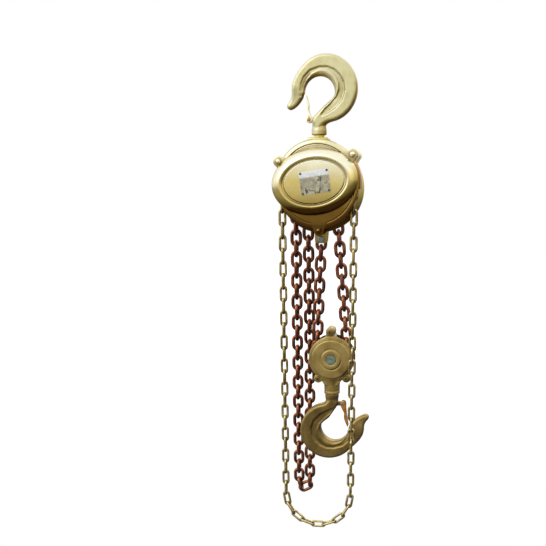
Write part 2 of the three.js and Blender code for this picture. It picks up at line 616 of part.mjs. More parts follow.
// Stays: shouldered between the side plates, headed on the gear side, with a nut over the cover
const frontWall = SKIRT_FRONT - SHEET;
const nutFace = frontWall - GAP;
STAYS.forEach((stay) => {
  const shoulder = PLATE_INNER - GAP;
  const head = PLATE_OUTER + GAP;
  const end = nutFace - NUT_HEIGHT + 1.5;
  add(`stay_bolt_${stay.name}`, turned([
    [0, end], [STAY_RADIUS, end], [STAY_RADIUS, -shoulder], [STAY_SHOULDER, -shoulder],
    [STAY_SHOULDER, shoulder], [STAY_RADIUS, shoulder], [STAY_RADIUS, head], [NUT_RADIUS, head],
    [NUT_RADIUS, head + 0.5 * NUT_HEIGHT], [0.7 * NUT_RADIUS, head + NUT_HEIGHT], [0, head + NUT_HEIGHT],
  ], SMALL, alongY(stay.x, stay.z)), FINISH.gold);
  const bore = STAY_RADIUS + GAP;
  add(`stay_nut_${stay.name}`, turned([
    [bore, nutFace], [NUT_RADIUS, nutFace], [NUT_RADIUS, nutFace - 0.5 * NUT_HEIGHT],
    [0.7 * NUT_RADIUS, nutFace - NUT_HEIGHT - 0.5], [0, nutFace - NUT_HEIGHT - 0.5], [0, end - GAP], [bore, end - GAP],
  ], SMALL, alongY(stay.x, stay.z)), FINISH.gold);
});

add("slack_pin", bar(PIN_RADIUS, -PLATE_OUTER, PLATE_OUTER, SMALL, alongY(SLACK_X, SLACK_Z)), FINISH.steel);

// Anchor lug: hangs on the bottom stay and holds the fixed end of the load chain
const stayBottom = STAYS[2];
const LUG_HALF = 11.5;
const LUG_DEEP = 12;
const lugSlot = 0.45 * LOAD.wire + 1;
const lugBottom = ANCHOR_Z - 7.3;
const lugShape = polygon([
  [ANCHOR_X - LUG_HALF + 3, lugBottom], [ANCHOR_X + LUG_HALF - 3, lugBottom],
  [ANCHOR_X + LUG_HALF, lugBottom + 4], [ANCHOR_X + LUG_HALF + 3, stayBottom.z + 8],
  [ANCHOR_X + LUG_HALF - 3, stayBottom.z + 12], [ANCHOR_X - LUG_HALF + 3, stayBottom.z + 12],
  [ANCHOR_X - LUG_HALF - 1, stayBottom.z + 8], [ANCHOR_X - LUG_HALF, lugBottom + 4],
]);
add("anchor_lug", without(slab(lugShape, -LUG_DEEP, LUG_DEEP), [
  bar(STAY_SHOULDER + GAP, -40, 40, SMALL, alongY(stayBottom.x, stayBottom.z)),
  bar(PIN_RADIUS + GAP, -40, 40, SMALL, alongY(ANCHOR_X, ANCHOR_Z)),
  box(ANCHOR_X - 30, ANCHOR_X + 30, -lugSlot, lugSlot, lugBottom - 5, anchorTop.z + LOAD.wire + 1),
]), FINISH.gold);
add("anchor_bolt", turned([
  [0, -LUG_DEEP - 4.5], [5.5, -LUG_DEEP - 4.5], [6.5, -LUG_DEEP - 3], [6.5, -LUG_DEEP - GAP],
  [PIN_RADIUS, -LUG_DEEP - GAP], [PIN_RADIUS, LUG_DEEP + GAP], [6.5, LUG_DEEP + GAP], [6.5, LUG_DEEP + 4],
  [0, LUG_DEEP + 4],
], SMALL, alongY(ANCHOR_X, ANCHOR_Z)), FINISH.steel);

// Wheels with pockets: flat links lie in the pockets, links on edge run in the groove between them
function pocketWheel(chain, radius, pockets, phase, flange, profile, x, y, z, sides) {
  const step = Math.PI / pockets;
  const mid = radius * Math.cos(step / 2);
  const thin = 0.45 * chain.wire;
  const groove = mid - chain.width / 2 - SEAT;
  const floor = mid - thin - SEAT;
  const slot = thin + SEAT;
  const wall = chain.width / 2 + SEAT;
  const body = turned(profile({ groove, floor, slot, wall, flange }), sides, (geometry) => geometry.translate(x, y, z));
  const end = chain.pitch / 2 + chain.wire + CROWN / 2 + SEAT;
  const apex = end / Math.sin(step);
  const low = Math.max(apex, floor - 1);
  const high = radius + 0.2;
  const spread = (u) => Math.max(0.05, (u - apex) * Math.tan(step));
  const teeth = [];
  for (let k = 0; k < pockets; k += 1) {
    const a = phase + step + 2 * step * k;
    const at = (u, v) => [x + u * Math.cos(a) - v * Math.sin(a), z + u * Math.sin(a) + v * Math.cos(a)];
    const shape = polygon([at(low, -spread(low)), at(high, -spread(high)), at(high, spread(high)), at(low, spread(low))]);
    teeth.push(slab(shape, y - wall - 0.2, y - slot), slab(shape, y + slot, y + wall + 0.2));
  }
  return union([body, ...teeth]);
}

const SHEAVE_HALF = PLATE_INNER - 2 * GAP;
const JOURNAL = BEARING.inner * Math.cos(Math.PI / MIDDLE) - GAP;
const shaftBore = fitted(SHAFT_RADIUS, MIDDLE);
add("load_sheave", pocketWheel(
  LOAD, SHEAVE_RADIUS, SHEAVE_POCKETS, SHEAVE_PHASE + sheaveStep * 1.5, SHEAVE_RADIUS + 8,
  (f) => [
    [shaftBore, -PLATE_OUTER - 1], [JOURNAL, -PLATE_OUTER - 1], [JOURNAL, -SHEAVE_HALF], [f.flange, -SHEAVE_HALF],
    [f.flange, -f.wall], [f.floor, -f.wall], [f.floor, -f.slot], [f.groove, -f.slot], [f.groove, f.slot],
    [f.floor, f.slot], [f.floor, f.wall], [f.flange, f.wall], [f.flange, SHEAVE_HALF], [JOURNAL, SHEAVE_HALF],
    [JOURNAL, PLATE_OUTER + 1], [SLEEVE_RADIUS, PLATE_OUTER + 1], [SLEEVE_RADIUS, LOAD_GEAR_Y[1] + 0.5],
    [shaftBore, LOAD_GEAR_Y[1] + 0.5],
  ], DRIVE_X, 0, DRIVE_Z, MIDDLE,
), FINISH.castIron);
const bearingNames = [["load_bearing_wheel", -PLATE_OUTER, -PLATE_INNER], ["load_bearing_gear", PLATE_INNER, PLATE_OUTER]];
bearingNames.forEach(([name, y0, y1]) => {
  add(name, ring(BEARING.inner, BEARING.outer, y0, y1, MIDDLE, alongY(DRIVE_X, DRIVE_Z)), FINISH.steel);
});

// Hand wheel
const brakeFace = -PLATE_OUTER - 2 - GAP;
const innerDisc = brakeFace - HUB_FLANGE - GAP;
const ratchetFace = innerDisc - DISC_THICK - GAP;
const outerDisc = ratchetFace - RATCHET_THICK - GAP;
const wheelFace = outerDisc - DISC_THICK - GAP;
const RIM_INNER = 53;
add("hand_wheel", pocketWheel(
  HAND, WHEEL_RADIUS, WHEEL_POCKETS, handStep / 2, WHEEL_RADIUS + 5,
  (f) => [
    [SLEEVE_RADIUS + GAP, -4], [RIM_INNER, -4], [RIM_INNER, -WHEEL_HALF],
    [f.flange, -WHEEL_HALF], [f.flange, -f.wall], [f.floor, -f.wall], [f.floor, -f.slot], [f.groove, -f.slot],
    [f.groove, f.slot], [f.floor, f.slot], [f.floor, f.wall], [f.flange, f.wall], [f.flange, WHEEL_HALF],
    [BRAKE_RADIUS, WHEEL_HALF], [BRAKE_RADIUS, wheelFace - HAND_Y],
    [SLEEVE_RADIUS + GAP, wheelFace - HAND_Y],
  ], DRIVE_X, HAND_Y, DRIVE_Z, 2 * WHEEL_POCKETS,
), FINISH.castIron);

// Brake: hub, friction discs and ratchet disc
add("brake_hub", turned([
  [shaftBore, brakeFace], [BRAKE_RADIUS, brakeFace], [BRAKE_RADIUS, brakeFace - HUB_FLANGE],
  [SLEEVE_RADIUS, brakeFace - HUB_FLANGE], [SLEEVE_RADIUS, HAND_Y - 4], [shaftBore, HAND_Y - 4],
], MIDDLE, alongY(DRIVE_X, DRIVE_Z)), FINISH.steel);
[["friction_disc_inner", innerDisc], ["friction_disc_outer", outerDisc]].forEach(([name, y]) => {
  add(name, ring(SLEEVE_RADIUS + GAP, BRAKE_RADIUS - 1, y - DISC_THICK, y, MIDDLE, alongY(DRIVE_X, DRIVE_Z)), FINISH.friction);
});
const pawlTip = PAWL_ANGLE + rad(40);
const ratchetPoints = [];
for (let k = 0; k < RATCHET_TEETH; k += 1) {
  const a = pawlTip + rad(1.2) + (2 * Math.PI * k) / RATCHET_TEETH;
  const slope = a + (2 * Math.PI * 0.5) / RATCHET_TEETH;
  [[a, RATCHET_ROOT], [a, RATCHET_TIP], [slope, (RATCHET_ROOT + RATCHET_TIP) / 2]].forEach(([angle, r]) => {
    ratchetPoints.push([DRIVE_X + r * Math.cos(angle), DRIVE_Z + r * Math.sin(angle)]);
  });
}
add("ratchet_disc", slab(polygon(ratchetPoints), ratchetFace - RATCHET_THICK, ratchetFace)
  .subtract(bar(fitted(SLEEVE_RADIUS, MIDDLE), -60, 0, MIDDLE, alongY(DRIVE_X, DRIVE_Z))), FINISH.steel);
const aroundDrive = (angle, radius) => [DRIVE_X + radius * Math.cos(angle), DRIVE_Z + radius * Math.sin(angle)];
const pawlBody = polygon([
  aroundDrive(pawlTip, RATCHET_ROOT + 0.6), aroundDrive(pawlTip - rad(12), RATCHET_TIP + 0.5),
  [pawlX + 3.5, pawlZ - 5], [pawlX + 5.5, pawlZ], [pawlX, pawlZ + 6], [pawlX - 5.5, pawlZ + 1],
  aroundDrive(pawlTip - rad(13), RATCHET_TIP + 8), aroundDrive(pawlTip, RATCHET_TIP + 3),
]);
add("pawl", slab(pawlBody, ratchetFace - RATCHET_THICK, ratchetFace)
  .subtract(bar(fitted(PAWL_PIN, SMALL), -60, 0, SMALL, alongY(pawlX, pawlZ))), FINISH.steel);
add("pawl_pin", turned([
  [0, -PLATE_INNER - 0.5], [PAWL_PIN, -PLATE_INNER - 0.5], [PAWL_PIN, ratchetFace - RATCHET_THICK - GAP],
  [5, ratchetFace - RATCHET_THICK - GAP], [5, ratchetFace - RATCHET_THICK - 2], [0, ratchetFace - RATCHET_THICK - 2],
], SMALL, alongY(pawlX, pawlZ)), FINISH.steel);
add("pawl_spring", spring(
  pawlX, pawlZ, PAWL_PIN + 1.6, 1, -PLATE_OUTER - 4.9, 2, [9, 5], [-15, -14.5],
), FINISH.spring);

// Gears
function toothAngle(teeth, shift, radius) {
  const pressure = rad(20);
  const base = (MODULE * teeth * Math.cos(pressure)) / 2;
  const involute = (angle) => Math.tan(angle) - angle;
  const local = Math.acos(Math.min(1, base / radius));
  const half = (Math.PI / 2 + 2 * shift * Math.tan(pressure)) / teeth - BACKLASH / (2 * MODULE * teeth);
  return half + involute(pressure) - involute(local);
}

function gearShape(x, z, teeth, shift, phase, flankPoints) {
  const tip = MODULE * (teeth / 2 + 1 + shift) - (shift > 0 ? TOPPING : 0);
  const root = MODULE * (teeth / 2 - 1.25 + shift);
  const points = [];
  for (let k = 0; k < teeth; k += 1) {
    const centre = phase + (2 * Math.PI * k) / teeth;
    const radii = Array.from({ length: flankPoints }, (_, i) => root + ((tip - root) * i) / (flankPoints - 1));
    const side = (sign) => radii.map((r) => {
      const a = centre + sign * toothAngle(teeth, shift, r);
      return [x + r * Math.cos(a), z + r * Math.sin(a)];
    });
    points.push(...side(-1), ...side(1).reverse());
  }
  return polygon(points);
}

add("load_gear", slab(
  gearShape(DRIVE_X, DRIVE_Z, GEAR_TEETH, -SHIFT, IDLER_TILT + Math.PI / GEAR_TEETH, 2), ...LOAD_GEAR_Y,
).subtract(bar(SLEEVE_RADIUS + GAP, 0, 60, MIDDLE, alongY(DRIVE_X, DRIVE_Z))), FINISH.steel);
["right", "left"].forEach((name, i) => {
  const g = idlers[i];
  const pinion = slab(
    gearShape(g.x, g.z, PINION_TEETH, SHIFT, g.angle + Math.PI, 2), LOAD_GEAR_Y[0], LOAD_GEAR_Y[1],
  );
  const gear = slab(
    gearShape(g.x, g.z, GEAR_TEETH, -SHIFT, g.angle + Math.PI + Math.PI / GEAR_TEETH, 2), ...FIRST_GEAR_Y,
  );
  const shaft = turned([
    [0, PLATE_INNER + 0.3], [IDLER_SHAFT, PLATE_INNER + 0.3], [IDLER_SHAFT, LOAD_GEAR_Y[1] - 0.5],
    [8, LOAD_GEAR_Y[1] + 0.2], [8, FIRST_GEAR_Y[0] + 0.4], [IDLER_SHAFT, FIRST_GEAR_Y[0] + 0.4],
    [IDLER_SHAFT, COVER_BACK - SHEET - 4], [0, COVER_BACK - SHEET - 4],
  ], SMALL, alongY(g.x, g.z));
  add(`idler_gear_${name}`, union([shaft, pinion, gear]), FINISH.steel);
});
const shaftEnd = HAND_Y - 4 - GAP - 6.5;
add("drive_shaft", turned([
  [0, shaftEnd], [SHAFT_RADIUS - 2, shaftEnd], [SHAFT_RADIUS - 2, HAND_Y - 4], [SHAFT_RADIUS, HAND_Y - 4],
  [SHAFT_RADIUS, LOAD_GEAR_Y[1] + 1], [PINION_SHAFT, LOAD_GEAR_Y[1] + 1], [PINION_SHAFT, COVER_BACK - SHEET - 4],
  [0, COVER_BACK - SHEET - 4],
], 12, alongY(DRIVE_X, DRIVE_Z)).add(slab(
  gearShape(DRIVE_X, DRIVE_Z, PINION_TEETH, SHIFT, IDLER_TILT, 2), ...FIRST_GEAR_Y,
)), FINISH.steel);
add("hub_nut", hexNut(
  SHAFT_RADIUS - 2 + GAP, SLEEVE_RADIUS, HAND_Y - 4 - GAP - 5.5, HAND_Y - 4 - GAP, alongY(DRIVE_X, DRIVE_Z),
), FINISH.steel);

// Gear cover: a pressed round shell with a raised ring and a three-cornered boss
function roundedTriangle(x, z, size, corner) {
  const shape = new THREE.Shape();
  const count = 3;
  const points = [];
  for (let k = 0; k < 3; k += 1) {
    const a = rad(90 + 120 * k);
    const cx = x + (size - corner) * Math.cos(a);
    const cz = z + (size - corner) * Math.sin(a);
    for (let i = 0; i <= count; i += 1) {
      const b = a - rad(60) + (rad(120) * i) / count;
      points.push(new THREE.Vector2(cx + corner * Math.cos(b), cz + corner * Math.sin(b)));
    }
  }
  shape.setFromPoints(points);
  return shape;
}

const shell = COVER_BACK - 3.5;
const coverRim = PLATE_OUTER + GAP;
const coverIn = COVER_RADIUS - SHEET;
const boss = (x, z, radius, bore, sides) => ring(
  bore, radius, FIRST_GEAR_Y[1] + 0.8, shell - SHEET + 0.2, sides, alongY(x, z),
);
add("gear_cover", union([
  turned([
    [coverIn, coverRim], [COVER_RADIUS, coverRim], [COVER_RADIUS, shell - 5], [COVER_RADIUS - 4, shell],
    [BEAD_RADIUS + 2.5, shell], [BEAD_RADIUS, shell + 1.8], [BEAD_RADIUS - 2.5, shell], [0, shell],
    [0, shell - SHEET], [coverIn - 4, shell - SHEET], [coverIn, shell - SHEET - 4],
  ], LARGE, alongY(DRIVE_X, DRIVE_Z)),
  slab(roundedTriangle(DRIVE_X, DRIVE_Z - 1, 29, 9), shell - 0.5, COVER_BACK, 0)
    .subtract(slab(roundedTriangle(DRIVE_X, DRIVE_Z - 1, 25, 6), shell + 1, COVER_BACK + 1)),
  ...idlers.map((g) => boss(g.x, g.z, 9, fitted(IDLER_SHAFT, SMALL), SMALL)),
  boss(DRIVE_X, DRIVE_Z, 10, fitted(PINION_SHAFT, 12), 12),
]), FINISH.brass);

// Wheel cover: a skirt round the hand wheel, open below for the chain, and a pressed oval dome
const skirtIn = WHEEL_RADIUS + HAND.width / 2 + 2;
const skirtOut = skirtIn + SKIRT_SHEET;
const skirtBack = -PLATE_OUTER - GAP;
const oval = (a, b, count) => Array.from({ length: count }, (_, i) => {
  const t = (2 * Math.PI * i) / count;
  const [u, v] = [a * Math.cos(t), b * Math.sin(t)];
  return [DOME_X + u * Math.cos(ROLL) - v * Math.sin(ROLL), DOME_Z + u * Math.sin(ROLL) + v * Math.cos(ROLL)];
});
const skirtParts = [
  slab(circle(DRIVE_X, DRIVE_Z, skirtOut), frontWall, skirtBack, 0, LARGE),
  slab(polygon(oval(DOME_A - 0.5, DOME_B - 0.5, LARGE)), frontWall, SKIRT_FRONT),
  ...STAYS.map((stay) => ear(stay, EAR_RADIUS + 0.5, frontWall, SKIRT_FRONT)),
];
const chainSlot = HAND.width / 2 + 2;
add("wheel_cover_skirt", without(union(skirtParts), [
  slab(circle(DRIVE_X, DRIVE_Z, skirtIn), SKIRT_FRONT, skirtBack + 10, 0, LARGE),
  slab(polygon(oval(DOME_A - 12, DOME_B - 12, MIDDLE)), frontWall - 5, SKIRT_FRONT + 5),
  ...STAYS.map((stay) => bar(STAY_RADIUS + GAP, -90, 0, SMALL, alongY(stay.x, stay.z))),
  box(DRIVE_X - 100, handLeft.x + chainSlot, SKIRT_FRONT, skirtBack + 10, DRIVE_Z - 90, DRIVE_Z - 8),
  box(handRight.x - chainSlot, DRIVE_X + 100, SKIRT_FRONT, skirtBack + 10, DRIVE_Z - 90, DRIVE_Z - 8),
]), FINISH.brass);

const domeBase = frontWall - GAP;
function domeBody() {
  const flat = DOME_RISE - 3;
  const profile = [
    [0, flat], [PANEL_A - 1.5, flat], [PANEL_A + 1, DOME_RISE], [PANEL_A + 5, DOME_RISE + 0.2],
    [DOME_A - 8, 0.76 * DOME_RISE], [DOME_A - 2, 0.34 * DOME_RISE], [DOME_A, 0], [DOME_A - SHEET, 0],
    [DOME_A - 9, 0.64 * DOME_RISE], [PANEL_A + 3, DOME_RISE - SHEET], [PANEL_A - 0.5, flat - SHEET],
    [0, flat - SHEET],
  ];
  return turned(profile, LARGE, (geometry) => {
    const at = geometry.getAttribute("position");
    for (let i = 0; i < at.count; i += 1) {
      const [x, h, z] = [at.getX(i), at.getY(i), at.getZ(i)];
      const t = THREE.MathUtils.clamp((Math.hypot(x, z) - PANEL_A) / (DOME_A - PANEL_A), 0, 1);
      const squash = THREE.MathUtils.lerp(PANEL_B / PANEL_A, DOME_B / DOME_A, t);
      at.setXYZ(i, x, -h, z * squash);
    }
    return geometry.rotateY(-ROLL).translate(DOME_X, domeBase, DOME_Z);
  });
}
const panel = domeBase - DOME_RISE + 3;
const corners = [[-1, -1], [-1, 1], [1, -1], [1, 1]].map(([i, j]) => {
  const u = i * (NAMEPLATE.width / 2 - 3);
  const v = j * (NAMEPLATE.height / 2 - 3);
  return [NAMEPLATE.x + u * Math.cos(ROLL) - v * Math.sin(ROLL), NAMEPLATE.z + u * Math.sin(ROLL) + v * Math.cos(ROLL)];
});
const RIVET_PIN = 1.2;
const rivetBores = corners.map(([x, z]) => bar(RIVET_PIN + GAP, -100, 0, 8, alongY(x, z)));
add("wheel_cover_dome", without(domeBody(), rivetBores), FINISH.brass);
// The rivets draw the plate's margin in a little, so that its field stands proud between them
function plateLayer(width, height, thick) {
  return box(-width / 2, width / 2, panel - GAP - thick, panel - GAP, -height / 2, height / 2)
    .rotate([0, (-ROLL * 180) / Math.PI, 0]).translate([NAMEPLATE.x, 0, NAMEPLATE.z]);
}
const marginThick = NAMEPLATE.thick - NAMEPLATE.drawn;
const plateSheet = plateLayer(NAMEPLATE.width, NAMEPLATE.height, marginThick).add(
  plateLayer(NAMEPLATE.width - 2 * NAMEPLATE.margin, NAMEPLATE.height - 2 * NAMEPLATE.margin, NAMEPLATE.thick),
);
add("nameplate", without(plateSheet, rivetBores), FINISH.silver);
corners.forEach(([x, z], i) => {
  const face = panel - 2 * GAP - marginThick;
  add(`plate_rivet_${i + 1}`, turned([
    [0, face - 1], [1.4, face - 0.9], [2.2, face], [RIVET_PIN, face], [RIVET_PIN, panel + SHEET + 0.4],
    [0, panel + SHEET + 0.4],
  ], 8, alongY(x, z)), FINISH.steel);
});

// Lower block
const idleMid = IDLE_RADIUS * Math.cos(IDLE_WRAP / IDLE_LINKS / 2);
const idleGroove = idleMid - LOAD.width / 2 - SEAT;
const idleFloor = idleMid - 0.45 * LOAD.wire - SEAT;
const idleSlot = 0.45 * LOAD.wire + SEAT;
const idleHalf = BLOCK_CAVITY - GAP;
const idleBore = fitted(AXLE_RADIUS, MIDDLE);
add("lower_sheave", turned([
  [idleBore, -idleHalf], [idleFloor, -idleHalf], [idleFloor, -idleSlot], [idleGroove, -idleSlot],
  [idleGroove, idleSlot], [idleFloor, idleSlot], [idleFloor, idleHalf], [idleBore, idleHalf],
], MIDDLE, alongY(BLOCK_X, BLOCK_Z)), FINISH.castIron);

const blockEars = [
  { name: "top", x: BLOCK_X - 2.5, z: BLOCK_Z + 54.5 },
  { name: "left", x: BLOCK_X - 27, z: BLOCK_Z - 41 },
  { name: "right", x: BLOCK_X + 31, z: BLOCK_Z - 39 },
];
const cavityRadius = BLOCK_RADIUS - 1.8;
function blockHalf(side) {
  const neck = polygon([
    [BLOCK_X - NECK_HALF - 14, BLOCK_Z - 36], [BLOCK_X - NECK_HALF, BLOCK_Z - 56], [BLOCK_X - NECK_HALF, neckBottom],
    [BLOCK_X + NECK_HALF, neckBottom], [BLOCK_X + NECK_HALF, BLOCK_Z - 56], [BLOCK_X + NECK_HALF + 14, BLOCK_Z - 36],
  ]);
  const span = (a, b) => (side < 0 ? [-b, -a] : [a, b]);
  const split = GAP / 2;
  const outer = [
    slab(circle(BLOCK_X, BLOCK_Z, BLOCK_RADIUS), ...span(split, BLOCK_HALF), 0, LARGE - 4),
    slab(neck, ...span(split, BLOCK_HALF)),
    ...blockEars.map((ear) => slab(circle(ear.x, ear.z, BLOCK_EAR), ...span(split, BLOCK_HALF), 0, SMALL + 4)),
    box(BLOCK_X - 9, BLOCK_X + 6, ...span(split, BLOCK_HALF), BLOCK_Z + 40, BLOCK_Z + 54),
  ];
  const cap = turned([
    [0, BLOCK_HALF - 0.5], [CAP_RADIUS, BLOCK_HALF - 0.5], [CAP_RADIUS - 0.5, BLOCK_HALF + CAP_RISE - 2],
    [CAP_RADIUS - 2.5, BLOCK_HALF + CAP_RISE], [BOSS_RADIUS, BLOCK_HALF + CAP_RISE],
    [BOSS_RADIUS, BLOCK_HALF + CAP_RISE + 1.5], [0, BLOCK_HALF + CAP_RISE + 1.5],
  ], LARGE - 4, (geometry) => (side < 0 ? geometry.rotateX(Math.PI) : geometry).translate(BLOCK_X, 0, BLOCK_Z));
  const opening = BLOCK_Z - 12;
  return without(union([...outer, cap]), [
    slab(circle(BLOCK_X, BLOCK_Z, cavityRadius), ...span(-1, BLOCK_CAVITY), 0, LARGE - 4),
    box(BLOCK_X - 70, BLOCK_X - 12, ...span(-1, BLOCK_CAVITY), opening, BLOCK_Z + 80),
    box(BLOCK_X + 9, BLOCK_X + 70, ...span(-1, BLOCK_CAVITY), opening, BLOCK_Z + 80),
    bar(AXLE_RADIUS + GAP, -40, 40, 12, alongY(BLOCK_X, BLOCK_Z)),
    ...blockEars.map((ear) => bar(SCREW_RADIUS + GAP, -40, 40, SMALL, alongY(ear.x, ear.z))),
    bar(fitted(SHANK, 12), neckBottom - 5, blockLedge + 5, 12, alongZ(BLOCK_X, 0)),
    bar(HOOK_NUT_RADIUS + 0.8, blockLedge, BLOCK_Z - 40, 12, alongZ(BLOCK_X, 0)),
  ]);
}
add("block_half_front", blockHalf(-1), FINISH.bronze);
add("block_half_back", blockHalf(1), FINISH.bronze);
const axleEnd = BLOCK_HALF + CAP_RISE + 2.7;
add("block_axle", bar(AXLE_RADIUS, -axleEnd, axleEnd, 12, alongY(BLOCK_X, BLOCK_Z)), FINISH.steel);
blockEars.forEach((ear) => {
  const face = BLOCK_HALF + GAP;
  add(`block_screw_${ear.name}`, turned([
    [0, -face - 3.6], [3.8, -face - 3.6], [5, -face - 2], [5, -face], [SCREW_RADIUS, -face], [SCREW_RADIUS, face],
    [5, face], [5, face + 3], [0, face + 3],
  ], SMALL, alongY(ear.x, ear.z)), FINISH.steel);
});

export default hoist;
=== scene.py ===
"""Looks of a hand chain hoist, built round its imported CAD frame.

Sizes are given in millimetres, as on a drawing, and turned to metres when a mesh is made.
"""
import json
import logging
from collections.abc import Callable, Iterator, Mapping, Sequence
from contextlib import contextmanager
from dataclasses import dataclass, field
from enum import Enum
from functools import partial
from math import atan2, cos, hypot, pi, radians, sin, sqrt
from typing import Any

import bmesh
import bpy
import numpy as np
from mathutils import Matrix, Vector, noise


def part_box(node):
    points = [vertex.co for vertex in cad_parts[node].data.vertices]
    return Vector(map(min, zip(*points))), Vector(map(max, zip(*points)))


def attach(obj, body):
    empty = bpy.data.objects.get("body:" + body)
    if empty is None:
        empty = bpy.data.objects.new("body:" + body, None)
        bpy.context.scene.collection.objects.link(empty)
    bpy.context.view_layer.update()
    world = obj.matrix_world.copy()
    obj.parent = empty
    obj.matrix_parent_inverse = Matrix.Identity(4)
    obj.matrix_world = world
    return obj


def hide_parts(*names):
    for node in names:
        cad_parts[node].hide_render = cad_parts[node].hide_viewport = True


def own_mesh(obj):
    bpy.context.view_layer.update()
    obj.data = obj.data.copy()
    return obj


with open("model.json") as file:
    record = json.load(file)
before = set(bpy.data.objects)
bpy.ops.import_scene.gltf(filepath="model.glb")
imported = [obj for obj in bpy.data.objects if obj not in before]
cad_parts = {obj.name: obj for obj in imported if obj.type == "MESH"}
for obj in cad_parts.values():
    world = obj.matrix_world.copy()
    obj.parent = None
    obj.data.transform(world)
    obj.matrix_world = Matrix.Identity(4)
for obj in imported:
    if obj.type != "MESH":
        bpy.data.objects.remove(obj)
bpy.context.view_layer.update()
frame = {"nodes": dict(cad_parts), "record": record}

log = logging.getLogger("hoist")
MM = 0.001

Pair = tuple[float, float]
Triple = tuple[float, float, float]
Body = bpy.types.Object


# Places, read from the frame, and sizes that several sub-assemblies share


def middle(node: str) -> Vector:
    """Gives the middle of a CAD node's box, in millimetres."""
    low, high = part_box(node)
    return (low + high) / 2 / MM


DRIVE = middle("drive_shaft")
BLOCK = middle("block_axle")
YOKE_LOW, YOKE_TOP = (corner.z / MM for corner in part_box("yoke"))
GAP = 0.3
ROLL = radians(8)
LEDGE = 12
SHANK_BORE = 10.3
NECK_LENGTH = 75
TRUNNION_DROP = 24
CHAIN_PIN = 4.21
IDLER_REACH = 38
IDLER_TILT = radians(20)
LINK_BITE = 0.24


# Colour and materials


def linear(hex_colour: str) -> tuple[float, float, float, float]:
    """Turns an sRGB hex colour to the linear one that shaders take.

    Args:
        hex_colour: six hex digits, such as "c8a850".

    Returns:
        Red, green, blue and alpha, linear.
    """
    channels = [int(hex_colour[i:i + 2], 16) / 255 for i in (0, 2, 4)]
    red, green, blue = [c / 12.92 if c <= 0.04045 else ((c + 0.055) / 1.055) ** 2.4 for c in channels]
    return red, green, blue, 1.0


def add_node(tree: bpy.types.NodeTree, kind: str, sockets: Mapping[Any, Any] | None = None, out: str = "",
             **settings: Any) -> Any:
    """Adds a shader node.

    Args:
        tree: the material's or world's node tree.
        kind: the node's type name, after the word ShaderNode.
        sockets: for each input, a value, or the output socket that feeds it.
        out: the output to give back.
        settings: the node's own properties.

    Returns:
        The output that was asked for, or else the new node.
    """
    node = tree.nodes.new(f"ShaderNode{kind}")
    for key, value in settings.items():
        setattr(node, key, value)
    for key, value in (sockets or {}).items():
        if isinstance(value, bpy.types.NodeSocket):
            tree.links.new(value, node.inputs[key])
        else:
            node.inputs[key].default_value = value
    return node.outputs[out] if out else node


def emptied(owner: bpy.types.Material | bpy.types.World) -> Callable[..., Any]:
    """Empties a material's or world's node tree, and gives what adds nodes to it."""
    owner.use_nodes = True
    owner.node_tree.nodes.clear()
    return partial(add_node, owner.node_tree)


@dataclass(frozen=True)
class Finish:
    """What a surface is made of."""

    name: str

    def material(self) -> bpy.types.Material:
        """Makes the material, once."""
        made = bpy.data.materials.get(self.name)
        if made is None:
            made = bpy.data.materials.new(self.name)
            self.draw(emptied(made))
        return made

    def draw(self, add: Callable[..., Any]) -> None:
        """Draws the nodes of this kind of finish."""
        raise NotImplementedError


